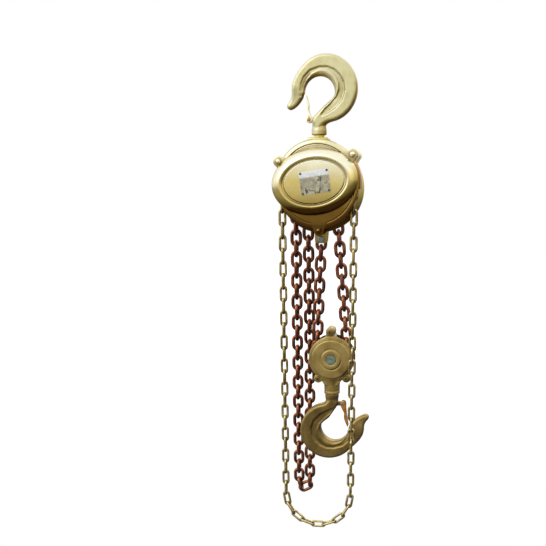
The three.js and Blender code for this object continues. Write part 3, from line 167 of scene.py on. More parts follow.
@dataclass(frozen=True)
class Metal(Finish):
    """A coated or bare metal: tones that drift over the surface, grain, painted light and shade by facing and
    height, and painted shade with some dirt in its corners.
    """

    low: str
    mid: str
    high: str
    metallic: float = 0.85
    smooth: float = 0.3
    rough: float = 0.45
    drift_mm: float = 30.0
    grain_mm: float = 1.2
    relief_mm: float = 0.05
    # the darkest tone: painted shade in corners and hollows, through ambient occlusion, with some dirt
    grime_and_shade: str = "3a2810"
    grime_and_shade_reach_mm: float = 6.0
    grime_and_shade_share: float = 0.6
    coat: float = 0.0
    cloud: float = 0.6
    # painted light and shade: paler where a face turns up and left towards the key lamp, darker where it
    # turns down
    painted_facing_shade: float = 0.12
    # painted light and shade by height: paler above level_mm, darker below it
    level_mm: float = 0.0
    painted_height_shade: float = 0.0
    edge: str = "ffffff"
    # whether the painted corner shade also takes other pieces in, as a painted cast shadow
    shaded: bool = False

    def draw(self, add: Callable[..., Any]) -> None:
        """Draws the nodes, with painted light and shade: paler where the surface faces up and left or stands
        high, darker where it faces down or stands low, and painted shade with some dirt in corners.

        Args:
            add: adds a node.
        """
        place = add("TexCoord", out="Object")
        drift = add("TexNoise", {
            "Vector": place, "Scale": 1 / (self.drift_mm * MM), "Detail": 3.0, "Roughness": 0.55,
        }, "Fac")
        # painted light and shade: how far each face turns up and left, towards the key lamp
        lie = add("VectorMath", {
            0: add("NewGeometry", out="Normal"), 1: (-0.5, 0, 0.866),
        }, "Value", operation="DOT_PRODUCT")
        clouds = add("MapRange", {
            "Value": drift, "To Min": 0.5 - self.cloud / 2, "To Max": 0.5 + self.cloud / 2,
        }, "Result")
        painted_shade_tone = add("Math", {0: lie, 1: self.painted_facing_shade, 2: clouds}, "Value", operation="MULTIPLY_ADD")
        # painted light and shade by height: the tone rises above level_mm and falls below it
        height_shade_tone = add("MapRange", {
            "Value": add("SeparateXYZ", {"Vector": place}, "Z"), "From Min": (self.level_mm - 100) * MM,
            "From Max": (self.level_mm + 100) * MM, "To Min": -self.painted_height_shade, "To Max": self.painted_height_shade,
        }, "Result")
        tones = add("ValToRGB", {"Fac": add("Math", {0: painted_shade_tone, 1: height_shade_tone}, "Value", operation="ADD")})
        ramp = tones.color_ramp
        ramp.elements[0].position, ramp.elements[0].color = 0.12, linear(self.grime_and_shade)
        ramp.elements[1].position, ramp.elements[1].color = 0.72, linear(self.high)
        for position, colour in ((0.3, self.low), (0.5, self.mid)):
            ramp.elements.new(position).color = linear(colour)
        # painted shade with some dirt: darker in corners and hollows, and under other pieces when shaded is
        # set
        hollow = add("AmbientOcclusion", {"Distance": self.grime_and_shade_reach_mm * MM}, "AO", samples=8,
                     only_local=not self.shaded)
        grime_and_shade = add("MapRange", {
            "Value": hollow, "From Min": 0.35, "From Max": 0.9, "To Min": self.grime_and_shade_share, "To Max": 0.0,
        }, "Result")
        colour = add("Mix", {
            "Factor": grime_and_shade, "A": tones.outputs["Color"], "B": linear(self.grime_and_shade),
        }, "Result", data_type="RGBA")
        grain = add("TexNoise", {
            "Vector": place, "Scale": 1 / (self.grain_mm * MM), "Detail": 4.0, "Roughness": 0.6,
        }, "Fac")
        gloss = add("MapRange", {
            "Value": grain, "From Min": 0.3, "From Max": 0.7, "To Min": self.smooth, "To Max": self.rough,
        }, "Result")
        relief = add("Bump", {"Height": grain, "Strength": 1.0, "Distance": self.relief_mm * MM}, "Normal")
        add("OutputMaterial", {"Surface": add("BsdfPrincipled", {
            "Base Color": colour, "Metallic": self.metallic, "Roughness": gloss, "Normal": relief,
            "Coat Weight": self.coat, "Coat Roughness": 0.12, "Specular Tint": linear(self.edge),
        }, "BSDF")})


@dataclass(frozen=True)
class Lining(Finish):
    """Friction lining: pressed brown fibre, matt and speckled."""

    base: str
    speck: str
    speck_mm: float = 0.9

    def draw(self, add: Callable[..., Any]) -> None:
        """Draws the nodes: brown fibre with paler specks and no shine.

        Args:
            add: adds a node.
        """
        place = add("TexCoord", out="Object")
        fibre = add("TexNoise", {"Vector": place, "Scale": 1 / (self.speck_mm * MM), "Detail": 5.0}, "Fac")
        tones = add("ValToRGB", {"Fac": fibre})
        for stop, position, colour in zip(tones.color_ramp.elements, (0.4, 0.7), (self.base, self.speck)):
            stop.position, stop.color = position, linear(colour)
        relief = add("Bump", {"Height": fibre, "Distance": 0.1 * MM}, "Normal")
        add("OutputMaterial", {"Surface": add("BsdfPrincipled", {
            "Base Color": tones.outputs["Color"], "Roughness": 0.9, "Normal": relief,
        }, "BSDF")})


# Forged hook, sprayed with a satin gold paint: pale, soft sheen, fine scale of the forging below, and strong
# painted shade in its channel and on faces turned down
HOOK_GOLD = Metal(
    "sprayed_gold_forging", low="a3893c", mid="e0d9a6", high="f1eccb", metallic=0.6, rough=0.44,
    drift_mm=26, grime_and_shade="57431c", grime_and_shade_reach_mm=14, grime_and_shade_share=0.85, cloud=0.3, painted_facing_shade=0.42, edge="c8a860",
)
# The lower hook carries a darker bronze paint, matt enough to show no sharp reflection
BRONZE = Metal(
    "satin_bronze_steel", low="4a3817", mid="78612c", high="b79c58", metallic=0.6, smooth=0.28, rough=0.42,
    drift_mm=34, relief_mm=0.04, grime_and_shade="1e1709", grime_and_shade_reach_mm=14, grime_and_shade_share=0.9, cloud=0.4, painted_facing_shade=0.4,
)
# The block is the same paint over a smoother casting, and shows lighter
BLOCK_BRONZE = Metal(
    "satin_bronze_casting", low="6e5829", mid="a98e4c", high="cbb472", metallic=0.6, rough=0.44,
    drift_mm=34, grain_mm=1.4, grime_and_shade="2c200c", grime_and_shade_reach_mm=8, grime_and_shade_share=0.85, painted_facing_shade=0.3,
)
# Pressed covers: bright zinc with a yellow chromate, almost a mirror with warm clouds, and painted light and
# shade: paler towards the top and on up-facing slopes, darker towards the bottom
COVER_GOLD = Metal(
    "yellow_zinc_steel", low="a08a46", mid="dcc77c", high="fffce0", smooth=0.2, rough=0.3, drift_mm=45,
    grain_mm=0.9, relief_mm=0.008, grime_and_shade="4a3210", grime_and_shade_share=0.95, cloud=0.2, painted_facing_shade=0.42, level_mm=-188,
    painted_height_shade=0.5, edge="c09a50",
)
# The skirt behind the dome: the same plating, with the dome's shadow painted on it round the dome, darker and
# warmer there, and darker towards the bottom
SKIRT_GOLD = Metal(
    "shaded_yellow_zinc", low="7c5e28", mid="b8954a", high="f4edc0", smooth=0.18, rough=0.28, drift_mm=45,
    grain_mm=0.9, relief_mm=0.008, grime_and_shade="5a3c16", grime_and_shade_reach_mm=22, grime_and_shade_share=1.0, cloud=0.25,
    painted_facing_shade=0.5, level_mm=-176, painted_height_shade=0.3, edge="b48c50", shaded=True,
)
# The yoke, stays and nuts: the same plating, fresher and more yellow
BRIGHT_GOLD = Metal(
    "bright_yellow_zinc", low="9a7c2c", mid="dcc25a", high="f6ecb0", smooth=0.2, rough=0.35, drift_mm=14,
    grain_mm=1.0, relief_mm=0.02, grime_and_shade="4a3410", grime_and_shade_reach_mm=4, grime_and_shade_share=0.85, cloud=0.3,
    painted_facing_shade=0.34,
)
# Copper-coloured plating on a rivet and on the lower latch
COPPER = Metal(
    "copper_plated_steel", low="9a5a18", mid="c88a38", high="e8b868", smooth=0.22, rough=0.38, drift_mm=9,
    grain_mm=0.8, relief_mm=0.03, grime_and_shade="3a1c0c", grime_and_shade_reach_mm=4, grime_and_shade_share=0.7,
)
# Alloy load chain, hardened and oiled: red-brown, with copper highlights painted on the faces turned up,
# besides its own sheen
LOAD_STEEL = Metal(
    "oiled_chain_steel", low="42201a", mid="74402a", high="c87c50", metallic=0.8, smooth=0.2, rough=0.36,
    drift_mm=12, grain_mm=0.9, relief_mm=0.04, grime_and_shade="1e0e0a", grime_and_shade_reach_mm=5, grime_and_shade_share=0.85,
    painted_facing_shade=0.36,
)
# Hand chain: drawn wire with an antique brass plating
HAND_STEEL = Metal(
    "brass_plated_chain", low="5a4824", mid="a08a4a", high="e6d49c", smooth=0.16, rough=0.32, drift_mm=10,
    grain_mm=0.8, relief_mm=0.03, grime_and_shade="2c2210", grime_and_shade_reach_mm=4, grime_and_shade_share=0.8, painted_facing_shade=0.36,
)
# Aluminium plate, bright and slightly dull
ALUMINIUM = Metal(
    "aluminium_sheet", low="b4b8b2", mid="cdd1cb", high="e2e5e0", smooth=0.28, rough=0.42, drift_mm=9,
    grain_mm=0.7, relief_mm=0.03, grime_and_shade="6c6a5a", grime_and_shade_reach_mm=2, grime_and_shade_share=0.4,
)
# Bare turned steel with a dull grey skin
STEEL = Metal(
    "turned_steel", low="6c706e", mid="868a86", high="a1a5a0", metallic=0.9, smooth=0.28, rough=0.44,
    drift_mm=12, grain_mm=0.7, relief_mm=0.03, grime_and_shade="2c2c28", grime_and_shade_reach_mm=4, grime_and_shade_share=0.7,
)
# Zinc-plated axle end: grey with a green cast
AXLE_STEEL = Metal(
    "green_zinc_steel", low="6f7f70", mid="8a9a88", high="a7b4a2", smooth=0.26, rough=0.42, drift_mm=8,
    grain_mm=0.8, relief_mm=0.04, grime_and_shade="2c3228", grime_and_shade_reach_mm=4,
)
# Sand-cast wheels: dark, with the grain of the mould
CAST_IRON = Metal(
    "sand_cast_iron", low="3c3a34", mid="4f4b42", high="666154", metallic=0.6, smooth=0.5, rough=0.7,
    drift_mm=18, grain_mm=1.4, relief_mm=0.15, grime_and_shade="1c1a14", grime_and_shade_reach_mm=8, grime_and_shade_share=0.7,
)
# Hardened spring wire, blued
SPRING = Metal(
    "spring_wire", low="3a3f45", mid="50565c", high="6b7178", metallic=0.9, smooth=0.22, rough=0.36,
    drift_mm=5, grain_mm=0.5, relief_mm=0.01, grime_and_shade="16181a", grime_and_shade_reach_mm=2, grime_and_shade_share=0.5,
)
# Forged lug of the chain's anchor: the same plating, painted darker and olive for the shade that it hangs in
# below the housing
ANCHOR_GOLD = Metal(
    "shade_painted_yellow_zinc", low="75642a", mid="9a8538", high="bba654", smooth=0.26, rough=0.4, drift_mm=12,
    grime_and_shade="33270c", grime_and_shade_reach_mm=5, grime_and_shade_share=0.75,
)
# Blind rivets of the plate, dark with handling
RIVET_STEEL = Metal(
    "dark_rivet_steel", low="4a4a46", mid="62625c", high="7e7e76", drift_mm=4, grain_mm=0.6, relief_mm=0.02,
    grime_and_shade="22221e", grime_and_shade_reach_mm=2,
)
# Screws of the block, painted over with it
SCREW_BRONZE = Metal(
    "painted_screw_bronze", low="6a5728", mid="806c36", high="93804a", metallic=0.5, smooth=0.34, rough=0.5,
    drift_mm=12, grain_mm=1.0, relief_mm=0.04, grime_and_shade="2e2410", grime_and_shade_reach_mm=4, grime_and_shade_share=0.7,
)
# Brown brake lining, matt among the bright metals
LINING = Lining("pressed_friction_fibre", "5f4433", "8d6a4c")

SLOT_FINISH = {
    "satin_gold_steel": HOOK_GOLD, "bronze_steel": BRONZE, "gold_steel": COVER_GOLD,
    "bright_gold_steel": BRIGHT_GOLD, "copper_steel": COPPER, "load_chain_steel": LOAD_STEEL,
    "hand_chain_steel": HAND_STEEL, "bare_plate": ALUMINIUM, "bare_steel": STEEL, "cast_iron": CAST_IRON,
    "friction_lining": LINING, "spring_steel": SPRING,
}


@dataclass(frozen=True)
class RatingMetal(Finish):
    """Thin aluminium sheet of the rating plate: a whitened head, and a greyed field with dark marks."""

    x: float
    z: float
    white: str = "f4f6f4"
    grey: str = "d2ccac"
    shade: str = "a7a28a"
    mark: str = "33322b"

    def draw(self, add: Callable[..., Any]) -> None:
        """Draws the nodes: marks gather in a smudge at the lower left and along a fold.

        Args:
            add: adds a node.
        """
        place = add("TexCoord", out="Object")
        straight = add("Mapping", {
            "Vector": place, "Location": (self.x * MM, 0, self.z * MM), "Rotation": (0, -ROLL, 0),
        }, "Vector", vector_type="TEXTURE")
        along = add("SeparateXYZ", {"Vector": straight}).outputs
        ragged = add("TexNoise", {"Vector": place, "Scale": 1 / (7 * MM), "Detail": 4.0}, "Fac")
        edge = add("Math", {0: ragged, 1: 5 * MM, 2: along["Z"]}, "Value", operation="MULTIPLY_ADD")
        head = add("MapRange", {
            "Value": edge, "From Min": 11 * MM, "From Max": 13.5 * MM,
        }, "Result", interpolation_type="SMOOTHSTEP")
        clouds = add("TexNoise", {"Vector": place, "Scale": 1 / (11 * MM), "Detail": 2.0}, "Fac")
        tones = add("ValToRGB", {"Fac": clouds})
        for stop, position, colour in zip(tones.color_ramp.elements, (0.38, 0.62), (self.shade, self.grey)):
            stop.position, stop.color = position, linear(colour)
        scuffs = add("TexNoise", {
            "Vector": place, "Scale": 1 / (11 * MM), "Detail": 3.0, "Roughness": 0.6, "Distortion": 0.8,
        }, "Fac")
        lean = add("Math", {0: along["Z"], 1: -0.22, 2: along["X"]}, "Value", operation="MULTIPLY_ADD")
        fold = add("Math", {0: lean, 1: 11 * MM, 2: 1.1 * MM}, "Value", operation="COMPARE")
        thumbed = add("VectorMath", {0: straight, 1: (-9 * MM, 0, -16 * MM)}, "Value", operation="DISTANCE")
        smudge = add("MapRange", {
            "Value": thumbed, "From Min": 12 * MM, "From Max": 2 * MM, "To Max": 0.2,
        }, "Result")
        smudged = add("Math", {0: scuffs, 1: smudge}, "Value", operation="ADD")
        deepened = add("Math", {0: fold, 1: 0.1, 2: smudged}, "Value", operation="MULTIPLY_ADD")
        dark = add("MapRange", {
            "Value": deepened, "From Min": 0.53, "From Max": 0.63, "To Max": 0.85,
        }, "Result")
        marked = add("Mix", {
            "Factor": dark, "A": tones.outputs["Color"], "B": linear(self.mark),
        }, "Result", data_type="RGBA")
        colour = add("Mix", {
            "Factor": head, "A": marked, "B": linear(self.white),
        }, "Result", data_type="RGBA")
        gloss = add("MapRange", {"Value": scuffs, "To Min": 0.25, "To Max": 0.55}, "Result")
        relief = add("Bump", {"Height": scuffs, "Distance": 0.05 * MM}, "Normal")
        add("OutputMaterial", {"Surface": add("BsdfPrincipled", {
            "Base Color": colour, "Metallic": 0.45, "Roughness": gloss, "Normal": relief,
        }, "BSDF")})


# The bench: modelling moves that every sub-assembly uses


class Cut(Enum):
    """What a second body does to the first one."""

    JOIN = "UNION"
    TAKE = "DIFFERENCE"


class Bench:
    """Modelling moves, with Blender's own operators."""

    @staticmethod
    def clear() -> None:
        """Deselects everything, in object mode."""
        if bpy.context.object and bpy.context.object.mode != "OBJECT":
            bpy.ops.object.mode_set(mode="OBJECT")
        bpy.ops.object.select_all(action="DESELECT")

    @staticmethod
    def take(*bodies: Body) -> Body:
        """Selects these bodies alone and makes the first one active.

        Args:
            bodies: the bodies.

        Returns:
            The first one.
        """
        Bench.clear()
        for body in bodies:
            body.select_set(True)
        bpy.context.view_layer.objects.active = bodies[0]
        return bodies[0]

    @staticmethod
    @contextmanager
    def editing(body: Body) -> Iterator[Body]:
        """Opens a body in edit mode with everything selected, and closes it again."""
        Bench.take(body)
        bpy.ops.object.mode_set(mode="EDIT")
        bpy.ops.mesh.select_mode(type="VERT")
        bpy.ops.mesh.select_all(action="SELECT")
        yield body
        bpy.ops.object.mode_set(mode="OBJECT")

    @staticmethod
    def outward(body: Body) -> Body:
        """Turns a body's normals outward."""
        with Bench.editing(body):
            bpy.ops.mesh.normals_make_consistent(inside=False)
        return body

    @staticmethod
    def thread(points: Sequence[Triple], closed: bool = False) -> Body:
        """Draws a line through points: a plane merged to one vertex, extruded from point to point.

        Args:
            points: the points in millimetres.
            closed: whether an edge joins the last point to the first.

        Returns:
            The new body.
        """
        Bench.clear()
        bpy.ops.mesh.primitive_plane_add(size=0.002)
        body = bpy.context.object
        places = [Vector(p) * MM for p in points]
        bpy.ops.object.mode_set(mode="EDIT")
        bpy.ops.mesh.select_mode(type="VERT")
        bpy.ops.mesh.select_all(action="SELECT")
        bpy.ops.mesh.merge(type="CENTER")
        bpy.ops.transform.translate(value=places[0])
        for start, end in zip(places, places[1:]):
            bpy.ops.mesh.extrude_region_move(TRANSFORM_OT_translate={"value": end - start})
        if closed:
            mesh = bmesh.from_edit_mesh(body.data)
            mesh.verts.ensure_lookup_table()
            ends = [v for v in mesh.verts if len(v.link_edges) == 1]
            bpy.ops.mesh.select_all(action="DESELECT")
            for vertex in ends:
                vertex.select_set(True)
            bmesh.update_edit_mesh(body.data)
            bpy.ops.mesh.edge_face_add()
        bpy.ops.object.mode_set(mode="OBJECT")
        return body

    @staticmethod
    def slab(outline: Sequence[Pair], y0: float, y1: float) -> Body:
        """Fills an outline drawn in X and Z and extrudes it along Y.

        Args:
            outline: the outline in millimetres, in order.
            y0: where it starts.
            y1: where it ends.

        Returns:
            The closed body.
        """
        body = Bench.thread([(x, y0, z) for x, z in outline], closed=True)
        with Bench.editing(body):
            bpy.ops.mesh.edge_face_add()
            bpy.ops.mesh.extrude_region_move(TRANSFORM_OT_translate={"value": (0, (y1 - y0) * MM, 0)})
        return Bench.outward(body)

    @staticmethod
    def turned(profile: Sequence[Pair], steps: int, axis: str = "Y", at: Triple = (0, 0, 0)) -> Body:
        """Spins a closed profile round an axis.

        Args:
            profile: pairs of radius and height in millimetres; the height runs along the axis.
            steps: how many steps make the full turn.
            axis: "Y" or "Z".
            at: a point on the axis, in millimetres.

        Returns:
            The closed body.
        """
        x, y, z = at
        if axis == "Y":
            points = [(x + r, y + h, z) for r, h in profile]
            along = (0, 1, 0)
        else:
            points = [(x + r, y, z + h) for r, h in profile]
            along = (0, 0, 1)
        body = Bench.thread(points, closed=profile[0][0] > 0 or profile[-1][0] > 0)
        with Bench.editing(body):
            bpy.ops.mesh.spin(steps=steps, angle=2 * pi, center=Vector(at) * MM, axis=along)
            bpy.ops.mesh.select_all(action="SELECT")
            bpy.ops.mesh.remove_doubles(threshold=1e-6)
        return Bench.outward(body)

    @staticmethod
    def block(low: Triple, high: Triple) -> Body:
        """Makes a block from its lowest and highest corners, in millimetres, to be shaped further."""
        Bench.clear()
        centre = [(a + b) / 2 * MM for a, b in zip(low, high)]
        sides = [(b - a) * MM for a, b in zip(low, high)]
        bpy.ops.mesh.primitive_cube_add(size=1, location=centre, scale=sides)
        body = bpy.context.object
        bpy.ops.object.transform_apply()
        return body

    @staticmethod
    def apply(body: Body, kind: str, **settings: Any) -> Body:
        """Adds a modifier and applies it.

        Args:
            body: the body.
            kind: the modifier's type.
            settings: its properties.

        Returns:
            The body.
        """
        Bench.take(body)
        modifier = body.modifiers.new(kind.lower(), kind)
        for key, value in settings.items():
            setattr(modifier, key, value)
        bpy.ops.object.modifier_apply(modifier=modifier.name)
        return body

    @staticmethod
    def bevel(body: Body, width: float, segments: int = 2, angle: float = 40) -> Body:
        """Rounds the edges that are sharper than an angle, by a width in millimetres."""
        return Bench.apply(body, "BEVEL", width=width * MM, segments=segments, limit_method="ANGLE",
                           angle_limit=radians(angle), use_clamp_overlap=True)

    @staticmethod
    def combine(body: Body, tool: Body, how: Cut) -> Body:
        """Joins or cuts a body with a second one, which is used up.

        Args:
            body: the body that stays.
            tool: the second body.
            how: what the second body does.

        Returns:
            The body.
        """
        Bench.apply(body, "BOOLEAN", operation=how.value, object=tool, solver="EXACT")
        bpy.data.objects.remove(tool)
        return body

    @staticmethod
    def drill(body: Body, x: float, z: float, radius: float, low: float = -95, high: float = 95) -> Body:
        """Drills a round bore along Y."""
        return Bench.combine(body, Bench.slab(ring_of(x, z, radius, 36), low, high), Cut.TAKE)

    @staticmethod
    def gather(bodies: Sequence[Body]) -> Body:
        """Makes one body of several that stay apart."""
        Bench.take(*bodies)
        if len(bodies) > 1:
            bpy.ops.object.join()
        return bpy.context.object

    @staticmethod
    def copied(body: Body, place: Matrix) -> Body:
        """Copies a body with its own mesh and puts the mesh in place."""
        twin = body.copy()
        twin.data = body.data.copy()
        twin.data.transform(place)
        bpy.context.collection.objects.link(twin)
        return twin


def arc(x: float, z: float, radius: float, start: float, end: float, steps: int) -> list[Pair]:
    """Gives points on an arc.

    Args:
        x: the centre's X.
        z: the centre's Z.
        radius: the radius.
        start: the first angle in degrees.
        end: the last angle in degrees.
        steps: how many steps lie between them.

    Returns:
        The points, both ends included.
    """
    angles = [radians(start + (end - start) * i / steps) for i in range(steps + 1)]
    return [(x + radius * cos(a), z + radius * sin(a)) for a in angles]


def ring_of(x: float, z: float, radius: float, steps: int) -> list[Pair]:
    """Gives the points of a full circle."""
    return arc(x, z, radius, 0, 360, steps)[:-1]


def leaned(x: float, z: float, angle: float, u: float, v: float) -> Pair:
    """Takes a point from axes that start at X and Z and are turned by an angle in radians to the hoist's."""
    return x + u * cos(angle) - v * sin(angle), z + u * sin(angle) + v * cos(angle)


def both_ends(profile: Sequence[Pair]) -> list[Pair]:
    """Puts the mirror image of half a profile of radius and height below it."""
    return [(r, -h) for r, h in reversed(profile)] + list(profile)


@dataclass(frozen=True)
class Spot:
    """A named place, X and Z."""

    name: str
    x: float
    z: float


def finish_piece(
    body: Body, name: str, rides: str, slot: str, finish: Finish | None = None,
    stands_for: Sequence[str] = (), sharp: float = 35,
) -> Body:
    """Dresses a finished body and ties it to the frame.

    Args:
        body: the body, its mesh in place.
        name: the piece's name.
        rides: the CAD body that carries it.
        slot: the record's material slot.
        finish: its finish, where it isn't the slot's own.
        stands_for: the CAD nodes that it replaces.
        sharp: the angle in degrees past which an edge stays sharp.

    Returns:
        The piece.
    """
    Bench.take(body)
    bpy.ops.object.transform_apply(location=True, rotation=True, scale=True)
    bpy.ops.object.shade_smooth_by_angle(angle=radians(sharp))
    body.name = name
    body.data.name = name
    body.data.materials.clear()
    body.data.materials.append((finish or SLOT_FINISH[slot]).material())
    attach(body, rides)
    if stands_for:
        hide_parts(*stands_for)
    log.info("%s rides on %s, %d faces", name, rides, len(body.data.polygons))
    return body


# Chains


@dataclass(frozen=True)
class LinkSize:
    """A welded link of round wire, in millimetres."""

    wire: float
    pitch: float
    width: float

    def model(self) -> Body:
        """Models one link: a ring whose two halves are moved apart.

        Returns:
            The link, its length along Z and facing Y, at the origin.
        """
        Bench.clear()
        bend = (self.width - self.wire) / 2
        straight = self.pitch + 2 * self.wire - self.width
        bpy.ops.mesh.primitive_torus_add(
            major_radius=bend * MM, minor_radius=self.wire / 2 * MM, major_segments=16, minor_segments=8,
            rotation=(pi / 2, 0, 0),
        )
        body = bpy.context.object
        bpy.ops.object.transform_apply()
        with Bench.editing(body):
            bpy.ops.mesh.bisect(plane_co=(0, 0, 0), plane_no=(0, 0, 1), clear_inner=True)
            bpy.ops.mesh.select_all(action="SELECT")
            bpy.ops.transform.translate(value=(0, 0, straight / 2 * MM))
        Bench.apply(body, "MIRROR", use_axis=(False, False, True), use_mirror_merge=False, use_clip=False)
        with Bench.editing(body):
            bpy.ops.mesh.select_mode(type="EDGE")
            bpy.ops.mesh.select_non_manifold(extend=False)
            bpy.ops.mesh.bridge_edge_loops(type="PAIRS")
        return Bench.outward(body)


@dataclass
class Chain:
    """Strands of one kind of link, each laid through its joints."""

    size: LinkSize
    slot: str
    pattern: Body | None = None

    def strand(self, joints: Sequence[Vector], faces: bool) -> list[Body]:
        """Lays a link between each two neighbouring joints, each a quarter turn from the last.

        Args:
            joints: the joints in millimetres.
            faces: whether the first link faces the hand-wheel side.

        Returns:
            The links.
        """
        if self.pattern is None:
            self.pattern = self.size.model()
        links = []
        for i, (start, end) in enumerate(zip(joints, joints[1:])):
            along = (end - start).normalized()
            deep = (Vector((0, 1, 0)) - along * along.y).normalized()
            wide = along.cross(deep)
            facing = faces if i % 2 == 0 else not faces
            across, normal = (wide, -deep) if facing else (deep, wide)
            turn = Matrix((across, normal, along)).transposed().to_4x4()
            turn.translation = (start + end) / 2 * MM
            links.append(Bench.copied(self.pattern, turn))
        return links

    def dress(self, links: Sequence[Body], name: str, rides: str, stands_for: Sequence[str] = ()) -> Body:
        """Makes one piece of the links of a strand."""
        return finish_piece(Bench.gather(links), name, rides, self.slot, stands_for=stands_for, sharp=60)


def between(start: Vector, end: Vector, count: int) -> list[Vector]:
    """Gives the joints after the first one on a straight fall of count links."""
    return [start.lerp(end, (i + 1) / count) for i in range(count)]


def on_wheel(x: float, y: float, z: float, radius: float, angle: float) -> Vector:
    """Gives the joint on a wheel at an angle in radians."""
    return Vector((x + radius * cos(angle), y, z + radius * sin(angle)))


def around(
    x: float, y: float, z: float, radius: float, start: float, step: float, count: int,
) -> list[Vector]:
    """Gives the joints after the first one on a wheel; the angles are in radians."""
    return [on_wheel(x, y, z, radius, start + step * (i + 1)) for i in range(count)]


@dataclass
class ChainWork:
    """All three chains, on the paths that the CAD gives them."""

    load: LinkSize = LinkSize(7.1, 21, 23.8)
    hand: LinkSize = LinkSize(5, 23.7, 15.6)
    sheave_pockets: int = 4
    wheel_pockets: int = 9
    idle_links: int = 5
    rising_links: int = 16
    anchor_links: int = 11
    slack_links: int = 30
    stored_links: int = 27
    hand_links: int = 26
    sheave_phase: float = radians(-12)
    idle_start: float = radians(-8)
    idle_wrap: float = radians(187)
    hand_y: float = -52
    # half the lower hook, half a link, and room between them
    slack_back: float = 27 / 2 + 23.8 / 2 + 1.6
    stored_shift: float = 2
    back_shift: float = 1.5
    hang_links: int = 3
    back_links: int = 13
    pin_room: float = 0.35
    lift: float = 160

    def build(self) -> None:
        """Lays the lifting falls, the slack fall and the hand chain."""
        self.falls(Chain(self.load, "load_chain_steel"))
        chain = Chain(self.hand, "hand_chain_steel")
        step = pi / self.wheel_pockets
        radius = self.hand.pitch / 2 / sin(step / 2)
        low = DRIVE.z - self.hand_links * self.hand.pitch
        left, right = (Vector((DRIVE.x + s * radius, self.hand_y, DRIVE.z)) for s in (-1, 1))
        low_left, low_right = (Vector((v.x, v.y, low)) for v in (left, right))
        joints = [
            left, *around(DRIVE.x, self.hand_y, DRIVE.z, radius, pi, -step, self.wheel_pockets),
            *between(right, low_right, self.hand_links),
            *around(DRIVE.x, self.hand_y, low, radius, 0, -step, self.wheel_pockets),
            *between(low_left, left, self.hand_links),
        ]
        chain.dress(chain.strand(joints, False), "hand_chain_loop", "frame", ["hand_chain"])
        bpy.data.objects.remove(chain.pattern)

    def falls(self, chain: Chain) -> None:
        """Lays the load chain: two lifting falls, the turn round the lower sheave, and the slack fall.

        Args:
            chain: the chain that lays its links.
        """
        pitch = self.load.pitch
        step = pi / self.sheave_pockets
        sheave = pitch / 2 / sin(step / 2)
        idle = pitch / 2 / sin(self.idle_wrap / self.idle_links / 2)
        hooked = 2 * GAP + LINK_BITE
        out = on_wheel(DRIVE.x, 0, DRIVE.z, sheave, self.sheave_phase)
        turn_in = on_wheel(BLOCK.x, 0, BLOCK.z, idle, self.idle_start)
        rising = self.rising_links * pitch - hooked
        start = out.lerp(turn_in, -hooked / rising)
        idle_step = -self.idle_wrap / self.idle_links
        idle_arc = around(BLOCK.x, 0, BLOCK.z, idle, self.idle_start, idle_step, self.idle_links)
        anchor_x = middle("anchor_bolt").x
        anchor_run = self.anchor_links * pitch
        turn_out = idle_arc[-1]
        anchor = Vector((anchor_x, 0, turn_out.z + sqrt(anchor_run ** 2 - (anchor_x - turn_out.x) ** 2)))
        joints = [start, *between(start, turn_in, self.rising_links), *idle_arc,
                  *between(turn_out, anchor, self.anchor_links)]
        links = chain.strand(joints, False)
        first, last = self.rising_links, self.rising_links + self.idle_links
        rise = chain.dress(links[:first], "load_chain_rising_fall", "frame", ["load_chain_falls"])
        chain.dress(links[first:last], "load_chain_round_sheave", "block")
        held = chain.dress(links[last:], "load_chain_anchor_fall", "frame")
        for piece, top, low in ((rise, start, turn_in), (held, anchor, turn_out)):
            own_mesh(piece)
        self.slack(chain, sheave, step)

    def slack(self, chain: Chain, sheave: float, step: float) -> None:
        """Lays the slack fall: up to its pin, round below, back to the load sheave and over it.

        Args:
            chain: the chain that lays its links.
            sheave: the radius of the joints on the load sheave.
            step: the angle from joint to joint there.
        """
        pitch = self.load.pitch
        pin = middle("slack_pin")
        pin_radius = self.load.width / 2 - self.load.wire - LINK_BITE - self.pin_room
        stored_top = Vector((pin.x, 0, pin.z + pin_radius + GAP + LINK_BITE / 2))
        stored_drop = sqrt((self.stored_links * pitch) ** 2 - self.slack_back ** 2 - self.stored_shift ** 2)
        stored_end = Vector((pin.x - self.stored_shift, self.slack_back, stored_top.z - stored_drop))
        start = around(DRIVE.x, 0, DRIVE.z, sheave, self.sheave_phase, step, self.sheave_pockets)[-1]
        bend = Vector((start.x, 0, start.z - self.hang_links * pitch))
        back_drop = sqrt((self.back_links * pitch) ** 2 - self.slack_back ** 2 - self.back_shift ** 2)
        mid = Vector((bend.x - self.back_shift, self.slack_back, bend.z - back_drop))
        rest = self.slack_links - self.back_links - self.hang_links
        end = Vector((mid.x - 1, self.slack_back, mid.z - rest * pitch))
        chord = (end - stored_end).length
        sag = sqrt(pitch ** 2 - (chord / 2) ** 2)
        lean = atan2(end.z - stored_end.z, end.x - stored_end.x)
        turn = stored_end.lerp(end, 0.5) + Vector((sag * sin(lean), 0, -sag * cos(lean)))
        over = around(DRIVE.x, 0, DRIVE.z, sheave, self.sheave_phase + pi, -step, self.sheave_pockets)
        joints = [
            stored_top, *between(stored_top, stored_end, self.stored_links), turn, end,
            *between(end, mid, rest), *between(mid, bend, self.back_links),
            *between(bend, start, self.hang_links), *over,
        ]
        chain.dress(chain.strand(joints, True), "load_chain_slack_fall", "frame", ["load_chain_slack"])
        bpy.data.objects.remove(chain.pattern)


# Hooks


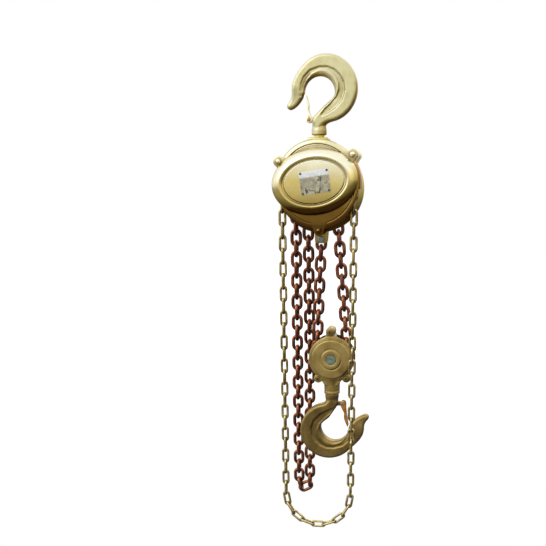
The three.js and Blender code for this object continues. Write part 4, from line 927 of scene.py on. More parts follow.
@dataclass
class Pen:
    """Draws an outline in X and Z, in millimetres."""

    points: list[Pair] = field(default_factory=list)
    steps: int = 14

    def line(self, x: float, z: float) -> None:
        """Draws a straight line to a point."""
        self.points.append((x, z))

    def curve(self, *stops: float) -> None:
        """Draws a curve with one or two handles; the last two numbers are its end."""
        pairs = [self.points[-1], *zip(stops[::2], stops[1::2])]
        for i in range(1, self.steps + 1):
            t = i / self.steps
            level = [Vector(p) for p in pairs]
            while len(level) > 1:
                level = [a.lerp(b, t) for a, b in zip(level, level[1:])]
            self.points.append((level[0].x, level[0].y))

    def arc(self, x: float, z: float, radius: float, start: float, end: float, steps: int) -> None:
        """Draws an arc round a centre, from one angle to another in degrees."""
        self.points.extend(arc(x, z, radius, start, end, steps))

    def thinned(self, least: float = 0.4) -> list[Pair]:
        """Gives the outline without points that lie closer than a length."""
        kept = [self.points[0]]
        for point in self.points[1:]:
            if hypot(point[0] - kept[-1][0], point[1] - kept[-1][1]) > least:
                kept.append(point)
        if hypot(kept[0][0] - kept[-1][0], kept[0][1] - kept[-1][1]) < least:
            kept.pop()
        return kept


def rise(value: np.ndarray, start: float, end: float) -> np.ndarray:
    """Rises smoothly from 0 at start to 1 at end."""
    t = np.clip((value - start) / (end - start), 0, 1)
    return t * t * (3 - 2 * t)


@dataclass
class Hook:
    """A forged hook with its neck and shank, its sprung latch and the latch's rivet."""

    name: str
    rides: str
    latch_rides: str
    slot: str
    latch_slot: str
    rivet_slot: str
    tip: int
    up: int
    x: float
    bowl: Pair
    size: float
    flank: float
    reach: float
    collar: float
    pivot: Pair
    shank_end: float
    ledge: float
    bowl_radius: float = 28.5
    back: float = 57.8
    back_at: Pair = (12.6, 7.6)
    heel: float = -78
    brow: float = 135
    half: float = 13.5
    tip_thinning: float = 4.5
    bowl_round: float = 8.5
    back_round: float = 5.5
    neck_round: float = 6.3
    shank: float = 10.0
    collar_radius: float = 14.2
    rivet: float = 2.5
    ear_play: float = 0.15
    latch_play: float = 0.25
    grain: float = 0.8
    ear_front: float = 6.0
    ear_back: float = 2.4
    eye: float = 5.6
    sheet: float = 1.5
    channel_depth: float = 0.5
    channel: tuple[Triple, ...] = (
        (-34, -5, 1.2), (-33.6, 3.2, 3.2), (-31.3, 14.1, 4.0), (-25.8, 24.5, 4.5), (-15.4, 34.8, 4.4),
        (1.5, 41.0, 3.2), (15.6, 40.6, 3.4), (27.2, 35.4, 4.0), (36, 26.4, 5.0), (41.6, 15.3, 6.2),
        (42.6, 3.2, 7.2), (37.5, -10.5, 8.0), (25.5, -23.2, 7.6), (14, -31.5, 5.8), (5, -39, 2.6),
    )

    def placed(self, x: float, z: float) -> Pair:
        """Takes a point from the hook's own plane to the hoist's."""
        return self.bowl[0] - self.tip * self.size * x, self.bowl[1] + self.up * self.size * z

    def outline(self) -> Pen:
        """Draws the hook in its own plane: opening to -X, bowl up, round the centre of the bowl."""
        flank = -(self.bowl_radius + self.flank)
        side = -self.tip * (self.x - self.bowl[0]) / self.size
        rim = arc(*self.back_at, self.back, self.heel, self.brow, 90)
        (heel_x, heel_z), (brow_x, brow_z) = rim[0], rim[-1]
        pen = Pen()
        pen.line(side + 11, -self.reach - 3)
        pen.line(side + 11, -60)
        pen.curve(side + 11.4, heel_z - 3.5, heel_x, heel_z)
        pen.points += rim
        pen.curve(brow_x - 15, brow_z - 15, flank - 0.8, 20, flank, 3)
        pen.curve(flank, -7, flank - 3, -13, flank - 8, -18)
        pen.curve(flank - 12.5, -23, flank - 8, -30, flank - 2, -28.6)
        pen.curve(flank + 6, -27, -self.bowl_radius - 5, -15, -self.bowl_radius, 0)
        pen.arc(0, 0, self.bowl_radius, 180, 0, 48)
        pen.curve(self.bowl_radius, -9, 18, -14, 11.6, -20)
        pen.line(side - 6.8, -38.5)
        pen.curve(side - 13, -46, side - 12.6, -54)
        pen.line(side - 12, -self.reach - 3)
        return pen

    def forge(self) -> Body:
        """Forges the hook's flat body: rounded all round, wider at the bowl, with a channel on both faces.

        Returns:
            The body in the hook's own plane, not yet placed.
        """
        outline = self.outline().thinned(0.8)
        body = Bench.slab(outline, -self.half, self.half)
        Bench.apply(body, "REMESH", mode="VOXEL", voxel_size=0.9 * MM)
        places = np.empty(3 * len(body.data.vertices))
        body.data.vertices.foreach_get("co", places)
        places = places.reshape(-1, 3) / MM
        here = places[:, [0, 2]]
        inner_away = np.full(len(here), 99.0)
        outer_away = np.full(len(here), 99.0)
        for start, end in zip(outline, [*outline[1:], outline[0]]):
            start, end = np.array(start), np.array(end)
            run = end - start
            share = np.clip((here - start) @ run / (run @ run), 0, 1)
            away = np.hypot(*(here - start - share[:, None] * run).T)
            mid = (start + end) / 2
            faces_bowl = hypot(*mid) < self.bowl_radius + 3 and mid[1] > -24
            nearest = inner_away if faces_bowl else outer_away
            np.minimum(nearest, away, out=nearest)
        x, z = here.T
        # thinner towards the tip, and rounder outside next to the neck
        thick = self.half - (
            self.tip_thinning * rise(-x, self.bowl_radius - 6, self.bowl_radius + 24) * rise(-z, -14, 20)
        )
        outer_round = self.back_round + self.neck_round * rise(-z, 44, 60)
        drop = np.maximum(self.rounding(inner_away, self.bowl_round), self.rounding(outer_away, outer_round))
        places[:, 1] *= (thick - drop - self.groove(here)) / self.half
        body.data.vertices.foreach_set("co", (places * MM).ravel())
        body.data.update()
        return body

    @staticmethod
    def rounding(away: np.ndarray, radius: float | np.ndarray) -> np.ndarray:
        """Gives how far a rounded edge lies below the face, at distances from the outline."""
        inside = np.clip(radius - away, 0, None)
        return radius - np.sqrt(np.clip(radius ** 2 - inside ** 2, 0, None))

    def groove(self, here: np.ndarray) -> np.ndarray:
        """Gives the channel's depth at points.

        Args:
            here: rows of X and Z in the hook's own plane.

        Returns:
            The depths in millimetres.
        """
        best = np.full(len(here), 9.0)
        depth = np.zeros(len(here))
        for (x0, z0, w0), (x1, z1, w1) in zip(self.channel, self.channel[1:]):
            run = np.array((x1 - x0, z1 - z0))
            start = np.array((x0, z0))
            share = np.clip((here - start) @ run / (run @ run), 0, 1)
            half = w0 + (w1 - w0) * share
            away = np.hypot(*(here - start - share[:, None] * run).T) / half
            closer = away < best
            best = np.where(closer, away, best)
            depth = np.where(closer, self.channel_depth * half, depth)
        return depth * (1 - rise(best, 0.62, 1.0))

    def build(self) -> None:
        """Builds the hook, its latch and the rivet."""
        body = self.forge()
        place = Matrix.Translation(Vector((self.bowl[0], 0, self.bowl[1])) * MM)
        if self.tip > 0:
            turn = Matrix.Rotation(pi, 4, "Y") @ Matrix.Scale(self.size, 4)
            place = place @ (Matrix.Diagonal((1, 1 / self.size, 1, 1)) @ turn)
        body.data.transform(place)
        away = -self.up
        start = self.bowl[1] + away * self.size * self.reach
        face = start + away * self.collar
        c, rim = self.collar_radius, self.eye - 1.4
        flare = [
            (c - 9, 25), (c - 5, 23), (c - 2.6, 19), (c - 1.9, 14), (c - 1.2, 8), (c - 0.6, 3.5),
            (c - 0.15, 1),
        ]
        profile = [
            (0, start - 25 * away), *((radius, start - up * away) for radius, up in flare), (c, start),
            (c, face - 0.9 * away), (c - 0.9, face), (0, face),
        ]
        neck = Bench.turned(profile, 64, "Z", (self.x, 0, 0))
        px, pz = self.placed(*self.pivot)
        ear = Bench.turned([
            (0, -self.ear_front), (rim - 0.3, -self.ear_front), (rim, -self.ear_front + 0.3),
            (rim, self.ear_back - 0.3), (rim - 0.3, self.ear_back), (0, self.ear_back),
        ], 32, "Y", (px, 0, pz))
        inward = self.x - px
        near = rim * away
        web = Bench.slab([
            (px, pz - near), (px + 0.6 * inward, pz - near), (px + inward, pz - 0.5 * near),
            (px + inward, pz + 1.5 * near), (px + 0.5 * inward, pz + 1.1 * near), (px, pz + near),
        ][::away], -self.ear_front, self.ear_back)
        body = Bench.gather([body, neck, ear, web])
        Bench.apply(body, "REMESH", mode="VOXEL", voxel_size=self.grain * MM)
        Bench.apply(body, "SMOOTH", factor=0.5, iterations=5)
        hole = both_ends([(self.rivet + self.ear_play, 20), (0, 20)])
        Bench.combine(body, Bench.turned(hole, 32, "Y", (px, 0, pz)), Cut.TAKE)
        finish_piece(body, f"{self.name}_forging", self.rides, self.slot, stands_for=[self.name], sharp=55)
        self.machined_shank(face, away)
        self.latch()
        self.pin(px, pz)

    def machined_shank(self, face: float, away: int) -> None:
        """Turns the shank below the collar, with its thinner threaded end.

        Args:
            face: where the collar ends.
            away: the way that the shank points along Z.
        """
        r = self.shank
        profile = [
            (0, face - away), (r + 1.2, face - away), (r + 1.2, face + 0.2 * away), (r, face + 0.9 * away),
            (r, self.ledge), (r - 2, self.ledge), (r - 2, self.shank_end - away), (r - 3, self.shank_end),
            (0, self.shank_end),
        ]
        body = Bench.turned(profile, 48, "Z", (self.x, 0, 0))
        finish_piece(body, f"{self.name}_shank", self.rides, self.slot, BRIGHT_GOLD)

    def latch(self) -> None:
        """Presses the latch: an eye on each side of the ear, and a tongue that bulges at mid height."""
        px, pz = self.placed(*self.pivot)
        ex, ez = self.placed(-self.bowl_radius + 1 + self.sheet / 2, -3)
        length = hypot(ex - px, ez - pz)
        half = self.ear_front + GAP + self.sheet
        pen = Pen()
        pen.arc(0, 0, self.eye, 14, -196, 36)
        pen.curve(-5.2, 6, -3.8, 9, -3.4, 13)
        pen.curve(-2.4, 0.42 * length, -1.7, 0.55 * length, -1.2, 0.72 * length)
        pen.line(-1.0, length - 0.6)
        pen.curve(-1.0, length, 0, length)
        pen.curve(1.2, length, 1.2, length - 0.8)
        pen.curve(2.2, 0.84 * length, 4.0, 0.74 * length, 3.8, 0.62 * length)
        pen.curve(3.4, 0.5 * length, 1.3, 0.44 * length, 1.8, 0.36 * length)
        pen.curve(2.6, 0.28 * length, 5.0, 9, 5.4, 2)
        body = Bench.slab(pen.thinned(0.25), -half, half)
        gap_low = (-14, -half + self.sheet, -12)
        gap_high = (14, half - self.sheet, self.eye + 3)
        Bench.combine(body, Bench.block(gap_low, gap_high), Cut.TAKE)
        for x0, x1 in ((0.8, 14), (-14, -0.8)):
            room = Bench.block((x0, -half + self.sheet, 0), (x1, half - self.sheet, length + 2))
            Bench.combine(body, room, Cut.TAKE)
        hole = both_ends([(self.rivet + self.latch_play, 20), (0, 20)])
        Bench.combine(body, Bench.turned(hole, 24), Cut.TAKE)
        Bench.bevel(body, 0.25, 2, 50)
        lean = atan2(ex - px, ez - pz)
        side = -1 if (self.tip < 0) != (self.up > 0) else 1
        place = Matrix.Translation(Vector((px, 0, pz)) * MM) @ Matrix.Rotation(lean, 4, "Y")
        body.data.transform(place @ Matrix.Diagonal((side, 1, 1, 1)))
        if side < 0:
            Bench.outward(body)
        finish_piece(body, f"{self.latch_rides}_pressing", self.latch_rides, self.latch_slot,
                     stands_for=[self.latch_rides])

    def pin(self, px: float, pz: float) -> None:
        """Turns the rivet with its two domed heads."""
        half = self.ear_front + 2 * GAP + self.sheet
        r = self.rivet
        body = Bench.turned(both_ends([
            (r, half), (r + 1, half), (r + 0.9, half + 0.5), (r + 0.4, half + 1.1), (r - 0.8, half + 1.5),
            (0, half + 1.6),
        ]), 32, "Y", (px, 0, pz))
        finish_piece(body, f"{self.latch_rides}_pin", self.rides, self.rivet_slot,
                     stands_for=[f"{self.latch_rides}_rivet"])


@dataclass
class Hooks:
    """The hook that the hoist hangs by, and the one that carries the load."""

    nut_height: float = 14
    thread_end: float = 1.5
    low_size: float = 1.03
    low_reach: float = 63.4
    low_collar: float = 6

    def build(self) -> None:
        """Builds both hooks."""
        top_ledge = YOKE_TOP - LEDGE
        Hook(
            name="top_hook", rides="top_hook", latch_rides="top_latch", slot="satin_gold_steel",
            latch_slot="gold_steel", rivet_slot="copper_steel", tip=-1, up=1, x=0, bowl=(1.3, -28.5), size=1,
            flank=23.5, reach=65, collar=8, pivot=(-19.8, -46.3),
            shank_end=top_ledge - self.nut_height - self.thread_end, ledge=top_ledge,
        ).build()
        neck = BLOCK.z - NECK_LENGTH
        low_ledge = neck + LEDGE
        bowl_z = neck - GAP - self.low_collar - self.low_size * self.low_reach
        Hook(
            name="lower_hook", rides="lower_hook", latch_rides="lower_latch", slot="bronze_steel",
            latch_slot="copper_steel", rivet_slot="bare_steel", tip=1, up=-1, x=BLOCK.x,
            bowl=(BLOCK.x + 6.5, bowl_z), size=self.low_size, flank=31, reach=self.low_reach,
            collar=self.low_collar, pivot=(-16.6, -49.5),
            shank_end=low_ledge + self.nut_height + self.thread_end, ledge=low_ledge,
        ).build()


# Suspension, side plates and what ties them together


def ear(x: float, z: float, radius: float, y0: float, y1: float) -> Body:
    """Makes an ear round a stay, with a web that widens towards the drive axis.

    Args:
        x: the stay's X.
        z: the stay's Z.
        radius: the ear's radius.
        y0: where it starts.
        y1: where it ends.

    Returns:
        The ear.
    """
    away = atan2(z - DRIVE.z, x - DRIVE.x)
    outline = [(-22, -radius - 9), *arc(0, 0, radius, -90, 90, 20), (-22, radius + 9)]
    return Bench.slab([leaned(x, z, away, u, v) for u, v in outline], y0, y1)


STAYS = (
    Spot("left", DRIVE.x - 72, DRIVE.z + 40.5),
    Spot("right", DRIVE.x + 65.5, DRIVE.z + 52.5),
    Spot("bottom", DRIVE.x + 3.5, DRIVE.z - 82),
)


@dataclass
class Yoke:
    """The block under the top hook: it holds the hook's nut and swings on two trunnions."""

    half: float = 19.5
    deep: float = 18.7
    trunnion: float = 8
    trunnion_end: float = 25
    nut_pocket: float = 14.2

    def build(self) -> None:
        """Forges the block, rounds it, and cuts the bore and the pocket."""
        bottom, top = YOKE_LOW, YOKE_TOP
        body = Bench.block((-self.half, -self.deep, bottom), (self.half, self.deep, top))
        Bench.bevel(body, 2.6, 5)
        end, r = self.trunnion_end, self.trunnion
        half_bar = [(r, end - 1), (r - 1, end), (0, end)]
        bar = Bench.turned(both_ends(half_bar), 48, "Y", (0, 0, top - TRUNNION_DROP))
        Bench.combine(body, bar, Cut.JOIN)
        ledge = top - LEDGE
        bore, pocket = SHANK_BORE, self.nut_pocket
        hollow = Bench.turned([
            (0, bottom - 5), (pocket, bottom - 5), (pocket, ledge), (bore, ledge), (bore, top - 1.2),
            (bore + 1.6, top + 1), (bore + 1.6, top + 5), (0, top + 5),
        ], 48, "Z")
        Bench.combine(body, hollow, Cut.TAKE)
        finish_piece(body, "yoke_forging", "yoke", "bright_gold_steel", stands_for=["yoke"])


@dataclass
class SidePlates:
    """Two pressed plates that carry the sheave, with three stays between them and the slack chain's pin."""

    inner: float = 19
    outer: float = 24
    radius: float = 80
    drop: float = 7
    shoulder: float = 35
    shoulder_drop: float = 9.5
    corner: float = 10
    ear_radius: float = 9
    bearing: float = 26.3
    trunnion: float = 8.3
    pin: float = CHAIN_PIN
    stay: float = 4.5
    thread: float = 3.4
    stay_shoulder: float = 6.2
    head: float = 5.3
    head_height: float = 6.5
    nut_face: float = -66.8
    pawl_pin: Triple = (50, radians(118), 3.3)
    idler: Triple = (IDLER_REACH, IDLER_TILT, 5.3)

    def build(self) -> None:
        """Builds both plates, the stays with their nuts, and the slack pin."""
        reach, angle, bore = self.pawl_pin
        pawl = (DRIVE.x + reach * cos(angle), DRIVE.z + reach * sin(angle), bore)
        reach, angle, bore = self.idler
        idlers = [(DRIVE.x + reach * cos(a), DRIVE.z + reach * sin(a), bore) for a in (angle, angle + pi)]
        self.plate("side_plate_wheel", -self.outer, -self.inner, [pawl])
        self.plate("side_plate_gear", self.inner, self.outer, idlers)
        for stay in STAYS:
            self.bolt(stay)
            self.nut(stay)
        self.slack_pin()

    def plate(self, node: str, y0: float, y1: float, bores: Sequence[Triple]) -> None:
        """Presses a plate: a disc with a shouldered arm above it and an ear for each stay.

        Args:
            node: the CAD node that it stands for.
            y0: its first face.
            y1: its second face.
            bores: X, Z and radius of the bores that only this plate has.
        """
        top = YOKE_TOP - self.shoulder_drop
        side, corner = self.shoulder, self.corner
        arm = [
            *arc(side - corner, top - corner, corner, 0, 90, 8),
            *arc(corner - side, top - corner, corner, 90, 180, 8),
            (-side, DRIVE.z - self.drop), (side, DRIVE.z - self.drop),
        ]
        body = Bench.slab(ring_of(DRIVE.x, DRIVE.z - self.drop, self.radius, 120), y0, y1)
        Bench.combine(body, Bench.slab(arm, y0, y1), Cut.JOIN)
        for stay in STAYS:
            Bench.combine(body, ear(stay.x, stay.z, self.ear_radius, y0, y1), Cut.JOIN)
        slack = middle("slack_pin")
        shared = [
            (DRIVE.x, DRIVE.z, self.bearing), (0, YOKE_TOP - TRUNNION_DROP, self.trunnion),
            (slack.x, slack.z, self.pin + GAP),
            *((stay.x, stay.z, self.stay + GAP) for stay in STAYS),
        ]
        for x, z, radius in (*shared, *bores):
            Bench.drill(body, x, z, radius)
        Bench.apply(body, "TRIANGULATE", quad_method="BEAUTY", ngon_method="BEAUTY")
        Bench.bevel(body, 0.5, 2, 50)
        finish_piece(body, f"{node}_pressing", "frame", "gold_steel", stands_for=[node])

    def bolt(self, stay: Spot) -> None:
        """Turns a stay: a thinner thread for its nut, a shoulder between the plates and a domed head."""
        shoulder = self.inner - GAP
        face = self.outer + GAP
        end = self.nut_face - self.head_height + 1.5
        r, s, t = self.stay, self.stay_shoulder, self.thread
        neck = self.nut_face + 0.2
        shaft = Bench.turned([
            (0, end), (t - 0.8, end), (t, end + 0.8), (t, neck), (r - 0.4, neck), (r, neck + 0.4),
            (r, -shoulder), (s - 0.4, -shoulder), (s, -shoulder + 0.4), (s, shoulder - 0.4),
            (s - 0.4, shoulder), (r, shoulder), (r, face),
            *((radius, face + h) for radius, h in self.domed(self.head_height)),
        ], 48, "Y", (stay.x, 0, stay.z))
        finish_piece(shaft, f"stay_{stay.name}", "frame", "bright_gold_steel",
                     stands_for=[f"stay_bolt_{stay.name}"])

    def nut(self, stay: Spot) -> None:
        """Turns a stay's cap nut, bored from behind."""
        height = self.head_height + 0.5
        bore = self.thread + GAP
        blind = self.head_height - 1.5 + GAP
        profile = [(0, blind), (bore - 1.2, blind), (bore, blind - 1.2), (bore, 0), *self.domed(height)]
        body = Bench.turned([(r, self.nut_face - h) for r, h in profile], 48, "Y", (stay.x, 0, stay.z))
        finish_piece(body, f"cap_nut_{stay.name}", "frame", "bright_gold_steel", COVER_GOLD,
                     [f"stay_nut_{stay.name}"])

    def domed(self, height: float) -> list[Pair]:
        """Gives a domed head's outside, from the face that bears to the top: a thin collar, then the dome."""
        r, low = self.head, 0.32 * height
        angles = [radians(i) for i in range(12, 90, 13)]
        crown = [((r - 0.5) * cos(a), low + (height - low) * sin(a)) for a in angles]
        collar = [(r - 0.3, 0), (r, 0.3), (r, low - 0.7), (r - 0.3, low - 0.3), (r - 0.45, low)]
        return [*collar, *crown, (0, height)]

    def slack_pin(self) -> None:
        """Turns the pin that holds the end of the slack chain."""
        at = middle("slack_pin")
        r, end = self.pin, self.outer
        body = Bench.turned(both_ends([(r, end - 0.6), (r - 0.6, end), (0, end)]), 32, "Y", (at.x, 0, at.z))
        finish_piece(body, "slack_chain_pin", "frame", "bare_steel", stands_for=["slack_pin"])


@dataclass
class Anchor:
    """The lug on the bottom stay that holds the fixed end of the load chain, and its bolt."""

    half: float = 11.5
    deep: float = 12
    under: float = 7.3
    slot: float = 4.195
    stay_bore: float = 6.5
    pin: float = CHAIN_PIN
    head: float = 6.5
    wire: float = 7.1
    room: float = 1

    def build(self) -> None:
        """Builds the lug and the bolt."""
        at = middle("anchor_bolt")
        stay = STAYS[2]
        x, low = at.x, at.z - self.under
        outline = [
            *arc(x + self.half - 4, low + 4, 4, -90, 0, 5), (x + self.half + 3, stay.z + 8),
            *arc(x + self.half - 1, stay.z + 9.5, 2.6, 20, 90, 4),
            *arc(x - self.half + 2, stay.z + 9.5, 2.6, 90, 160, 4),
            (x - self.half - 1, stay.z + 8), *arc(x - self.half + 4, low + 4, 4, 180, 270, 5),
        ]
        body = Bench.slab(outline, -self.deep, self.deep)
        Bench.bevel(body, 1.4, 3)
        Bench.drill(body, stay.x, stay.z, self.stay_bore)
        Bench.drill(body, at.x, at.z, self.pin + GAP)
        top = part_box("anchor_lug")[1].z / MM
        slot_top = at.z + self.pin + GAP + LINK_BITE / 2 + self.wire + self.room
        mouth = Bench.block((x - 30, -self.slot, low - 5), (x + 30, self.slot, min(slot_top, top - 3)))
        Bench.combine(body, mouth, Cut.TAKE)
        finish_piece(body, "anchor_lug_forging", "frame", "bright_gold_steel", ANCHOR_GOLD, ["anchor_lug"])
        d, p, h = self.deep, self.pin, self.head
        bolt = Bench.turned([
            (0, -d - 3.3), (2.6, -d - 3.3), (2.8, -d - 4.2), (4.4, -d - 4.5), (5.9, -d - 3.9), (h, -d - 3),
            (h, -d - 0.5), (h - 0.3, -d - GAP), (p, -d - GAP), (p, d + GAP), (h - 0.3, d + GAP), (h, d + 0.6),
            (h, d + 3.2), (h - 0.8, d + 4), (0, d + 4),
        ], 40, "Y", (at.x, 0, at.z))
        finish_piece(bolt, "anchor_bolt_turned", "frame", "bare_steel", stands_for=["anchor_bolt"])


# Covers


def flowing(points: Sequence[Pair], between_points: int = 4) -> list[Pair]:
    """Draws a smooth curve through points.

    Args:
        points: the points.
        between_points: how many steps lie between two of them.

    Returns:
        The curve's points.
    """
    held = [Vector(p) for p in (points[0], *points, points[-1])]
    curve = [points[0]]
    for a, b, c, d in zip(held, held[1:], held[2:], held[3:]):
        for i in range(1, between_points + 1):
            t = i / between_points
            bend, twist = 2 * a - 5 * b + 4 * c - d, 3 * b - a - 3 * c + d
            place = 0.5 * (2 * b + (c - a) * t + bend * t ** 2 + twist * t ** 3)
            curve.append((place.x, place.y))
    return curve


@dataclass
class WheelCover:
    """The cover of the hand wheel: a skirt with ears, a pressed oval dome and a riveted plate."""

    skirt_radius: float = 79.54
    sheet: float = 1.5
    back: float = -24.3
    front: float = -66.5
    corner: float = 7
    dome_x: float = 0.6
    dome_up: float = 4.5
    dome_a: float = 81
    dome_b: float = 58.5
    panel_a: float = 60
    panel_b: float = 40
    base: float = -66.8
    wheel: float = 68.24
    slot: float = 9.8
    lobe: float = 9.5
    stay_bore: float = 4.8
    flange_inset: float = 0.5
    opening_inset: float = 12
    dome_profile: tuple[Pair, ...] = (
        (54, 12), (55.6, 11.9), (56.8, 11.1), (58, 10.7), (59.4, 11.4), (61, 13.2), (62.7, 14.7),
        (64.6, 15.2), (67.4, 14.7), (70.4, 13.3), (73.7, 10.9), (76.7, 7.8), (79.2, 4.3), (80.6, 1.6),
        (81, 0),
    )
    dome_inside: tuple[Pair, ...] = (
        (79, 0), (78.6, 1.4), (77.3, 3.9), (75, 6.8), (71.9, 9.6), (68.8, 11.5), (66.4, 12.6), (64.6, 13.1),
        (63.4, 12.7), (62.2, 11.5), (60.4, 9.6), (58.2, 8.7), (56, 9.5), (54, 10),
    )

    def build(self) -> None:
        """Builds the skirt, the dome, the plate and its rivets."""
        self.skirt()
        self.dome()

    def rolled(self, u: float, v: float) -> Pair:
        """Takes a point from the dome's own axes to the hoist's."""
        return leaned(self.dome_x, DRIVE.z + self.dome_up, ROLL, u, v)

    def oval(self, a: float, b: float, count: int = 120) -> list[Pair]:
        """Gives the points of an oval round the dome's middle."""
        return [self.rolled(a * cos(2 * pi * i / count), b * sin(2 * pi * i / count)) for i in range(count)]

    def skirt(self) -> None:
        """Draws the skirt: a deep shell with a soft front corner, a groove, and a flange for the dome."""
        r, f, c, s = self.skirt_radius, self.front, self.corner, self.sheet
        outer = arc(r - c, f + c, c, 0, -90, 10)
        inner = arc(r - c, f + c, c - s, -90, 0, 6)
        groove = [(71.5, f), (70.9, f + 0.9), (70.2, f + 1.2), (69.2, f + 1.2), (68.5, f + 0.9), (67.8, f)]
        profile = [
            (r, self.back), *outer, *groove, (50, f), (50, f + 2), (66, f + 2), (67.2, f + 3), (72, f + 3),
            *inner[1:], (r - s, self.back),
        ]
        body = Bench.turned(profile, 144, "Y", (DRIVE.x, 0, DRIVE.z))
        inset = self.flange_inset
        flange = Bench.slab(self.oval(self.dome_a - inset, self.dome_b - inset), f + 0.05, f + 1.9)
        Bench.bevel(flange, 0.6, 2, 60)
        Bench.combine(body, flange, Cut.JOIN)
        for stay in STAYS:
            lobe = ear(stay.x, stay.z, self.lobe, f + 0.02, f + 1.95)
            Bench.bevel(lobe, 0.7, 3, 60)
            Bench.combine(body, lobe, Cut.JOIN)
        inset = self.opening_inset
        opening = Bench.slab(self.oval(self.dome_a - inset, self.dome_b - inset), f - 5, f + 7)
        Bench.combine(body, opening, Cut.TAKE)
        for stay in STAYS:
            Bench.drill(body, stay.x, stay.z, self.stay_bore, -90, 0)
        left, right = DRIVE.x - self.wheel, DRIVE.x + self.wheel
        for x0, x1 in ((DRIVE.x - 100, left + self.slot), (right - self.slot, DRIVE.x + 100)):
            mouth = Bench.block((x0, f + 2, DRIVE.z - 90), (x1, self.back + 10, DRIVE.z - 8))
            Bench.combine(body, mouth, Cut.TAKE)
        finish_piece(body, "wheel_cover_skirt_pressing", "frame", "gold_steel", SKIRT_GOLD,
                     ["wheel_cover_skirt"], 32)

    def dome(self) -> None:
        """Presses the dome: spun round, then squeezed to an oval, less so at the panel than at the rim."""
        outside = flowing(self.dome_profile)
        inside = flowing(self.dome_inside, 2)
        body = Bench.turned([(0, 12), (30, 12), *outside, *inside, (30, 10), (0, 10)], 160)
        for vertex in body.data.vertices:
            x, y, z = vertex.co / MM
            t = min(1.0, max(0.0, (hypot(x, z) - self.panel_a) / (self.dome_a - self.panel_a)))
            squeeze = self.panel_b / self.panel_a * (1 - t) + self.dome_b / self.dome_a * t
            u, v = self.rolled(x, z * squeeze)
            vertex.co = Vector((u, self.base - y, v)) * MM
        Bench.outward(body)
        plate = RatingPlate(middle("nameplate").x, middle("nameplate").z)
        for x, z in plate.corners():
            Bench.drill(body, x, z, plate.rivet_bore, -100, 0)
        finish_piece(body, "wheel_cover_dome_pressing", "frame", "gold_steel",
                     stands_for=["wheel_cover_dome"], sharp=80)
        plate.build()


@dataclass
class RatingPlate:
    """A bare aluminium plate, slightly crumpled, on four rivets."""

    x: float
    z: float
    width: float = 55
    height: float = 41
    inset: float = 3
    thick: float = 0.55
    face: float = -79.75
    rivet_face: float = -80.0
    rivet_head: float = 2.2
    rivet_bore: float = 1.5
    rivet_pin: float = 1.2
    rivet_end: float = -76.4

    def at(self, u: float, v: float) -> Pair:
        """Takes a point from the plate's own axes to the hoist's."""
        return leaned(self.x, self.z, ROLL, u, v)

    def corners(self) -> list[Pair]:
        """Gives the places of the rivets."""
        u, v = self.width / 2 - self.inset, self.height / 2 - self.inset
        return [self.at(i * u, j * v) for i, j in ((-1, -1), (-1, 1), (1, -1), (1, 1))]

    def build(self) -> None:
        """Builds the plate and its rivets."""
        Bench.clear()
        bpy.ops.mesh.primitive_grid_add(
            x_subdivisions=55, y_subdivisions=41, size=MM, rotation=(pi / 2, 0, 0),
        )
        bpy.ops.transform.resize(value=(self.width, 1, self.height))
        body = bpy.context.object
        bpy.ops.object.transform_apply()
        for vertex in body.data.vertices:
            u, v = vertex.co.x / MM, vertex.co.z / MM
            rim = min(1.0, (self.width / 2 - abs(u)) / 5, (self.height / 2 - abs(v)) / 5)
            buckle = noise.noise(Vector((u / 11, v / 9, 3.1)))
            buckle += 0.5 * noise.noise(Vector((u / 4, v / 4, 8.2)))
            fold = max(0.0, 1 - abs(u - 9 - 0.22 * v) / 3.5)
            x, z = self.at(u, v)
            vertex.co = Vector((x, self.face - rim * (0.18 + 0.22 * buckle + 0.2 * fold), z)) * MM
        Bench.apply(body, "SOLIDIFY", thickness=self.thick * MM, offset=-1)
        Bench.outward(body)
        for x, z in self.corners():
            Bench.drill(body, x, z, self.rivet_bore, -100, 0)
        metal = RatingMetal("worn_aluminium_sheet", self.x, self.z)
        finish_piece(body, "rating_plate_sheet", "frame", "bare_plate", metal, ["nameplate"], 50)
        f, r, p = self.rivet_face, self.rivet_head, self.rivet_pin
        for i, (x, z) in enumerate(self.corners()):
            rivet = Bench.turned([
                (0, f - 1), (0.9, f - 0.95), (1.6, f - 0.75), (r - 0.15, f - 0.4), (r, f - 0.1), (r, f),
                (p, f), (p, self.rivet_end), (0, self.rivet_end),
            ], 24, "Y", (x, 0, z))
            node = f"plate_rivet_{i + 1}"
            finish_piece(rivet, f"{node}_turned", "frame", "bare_plate", RIVET_STEEL, [node])


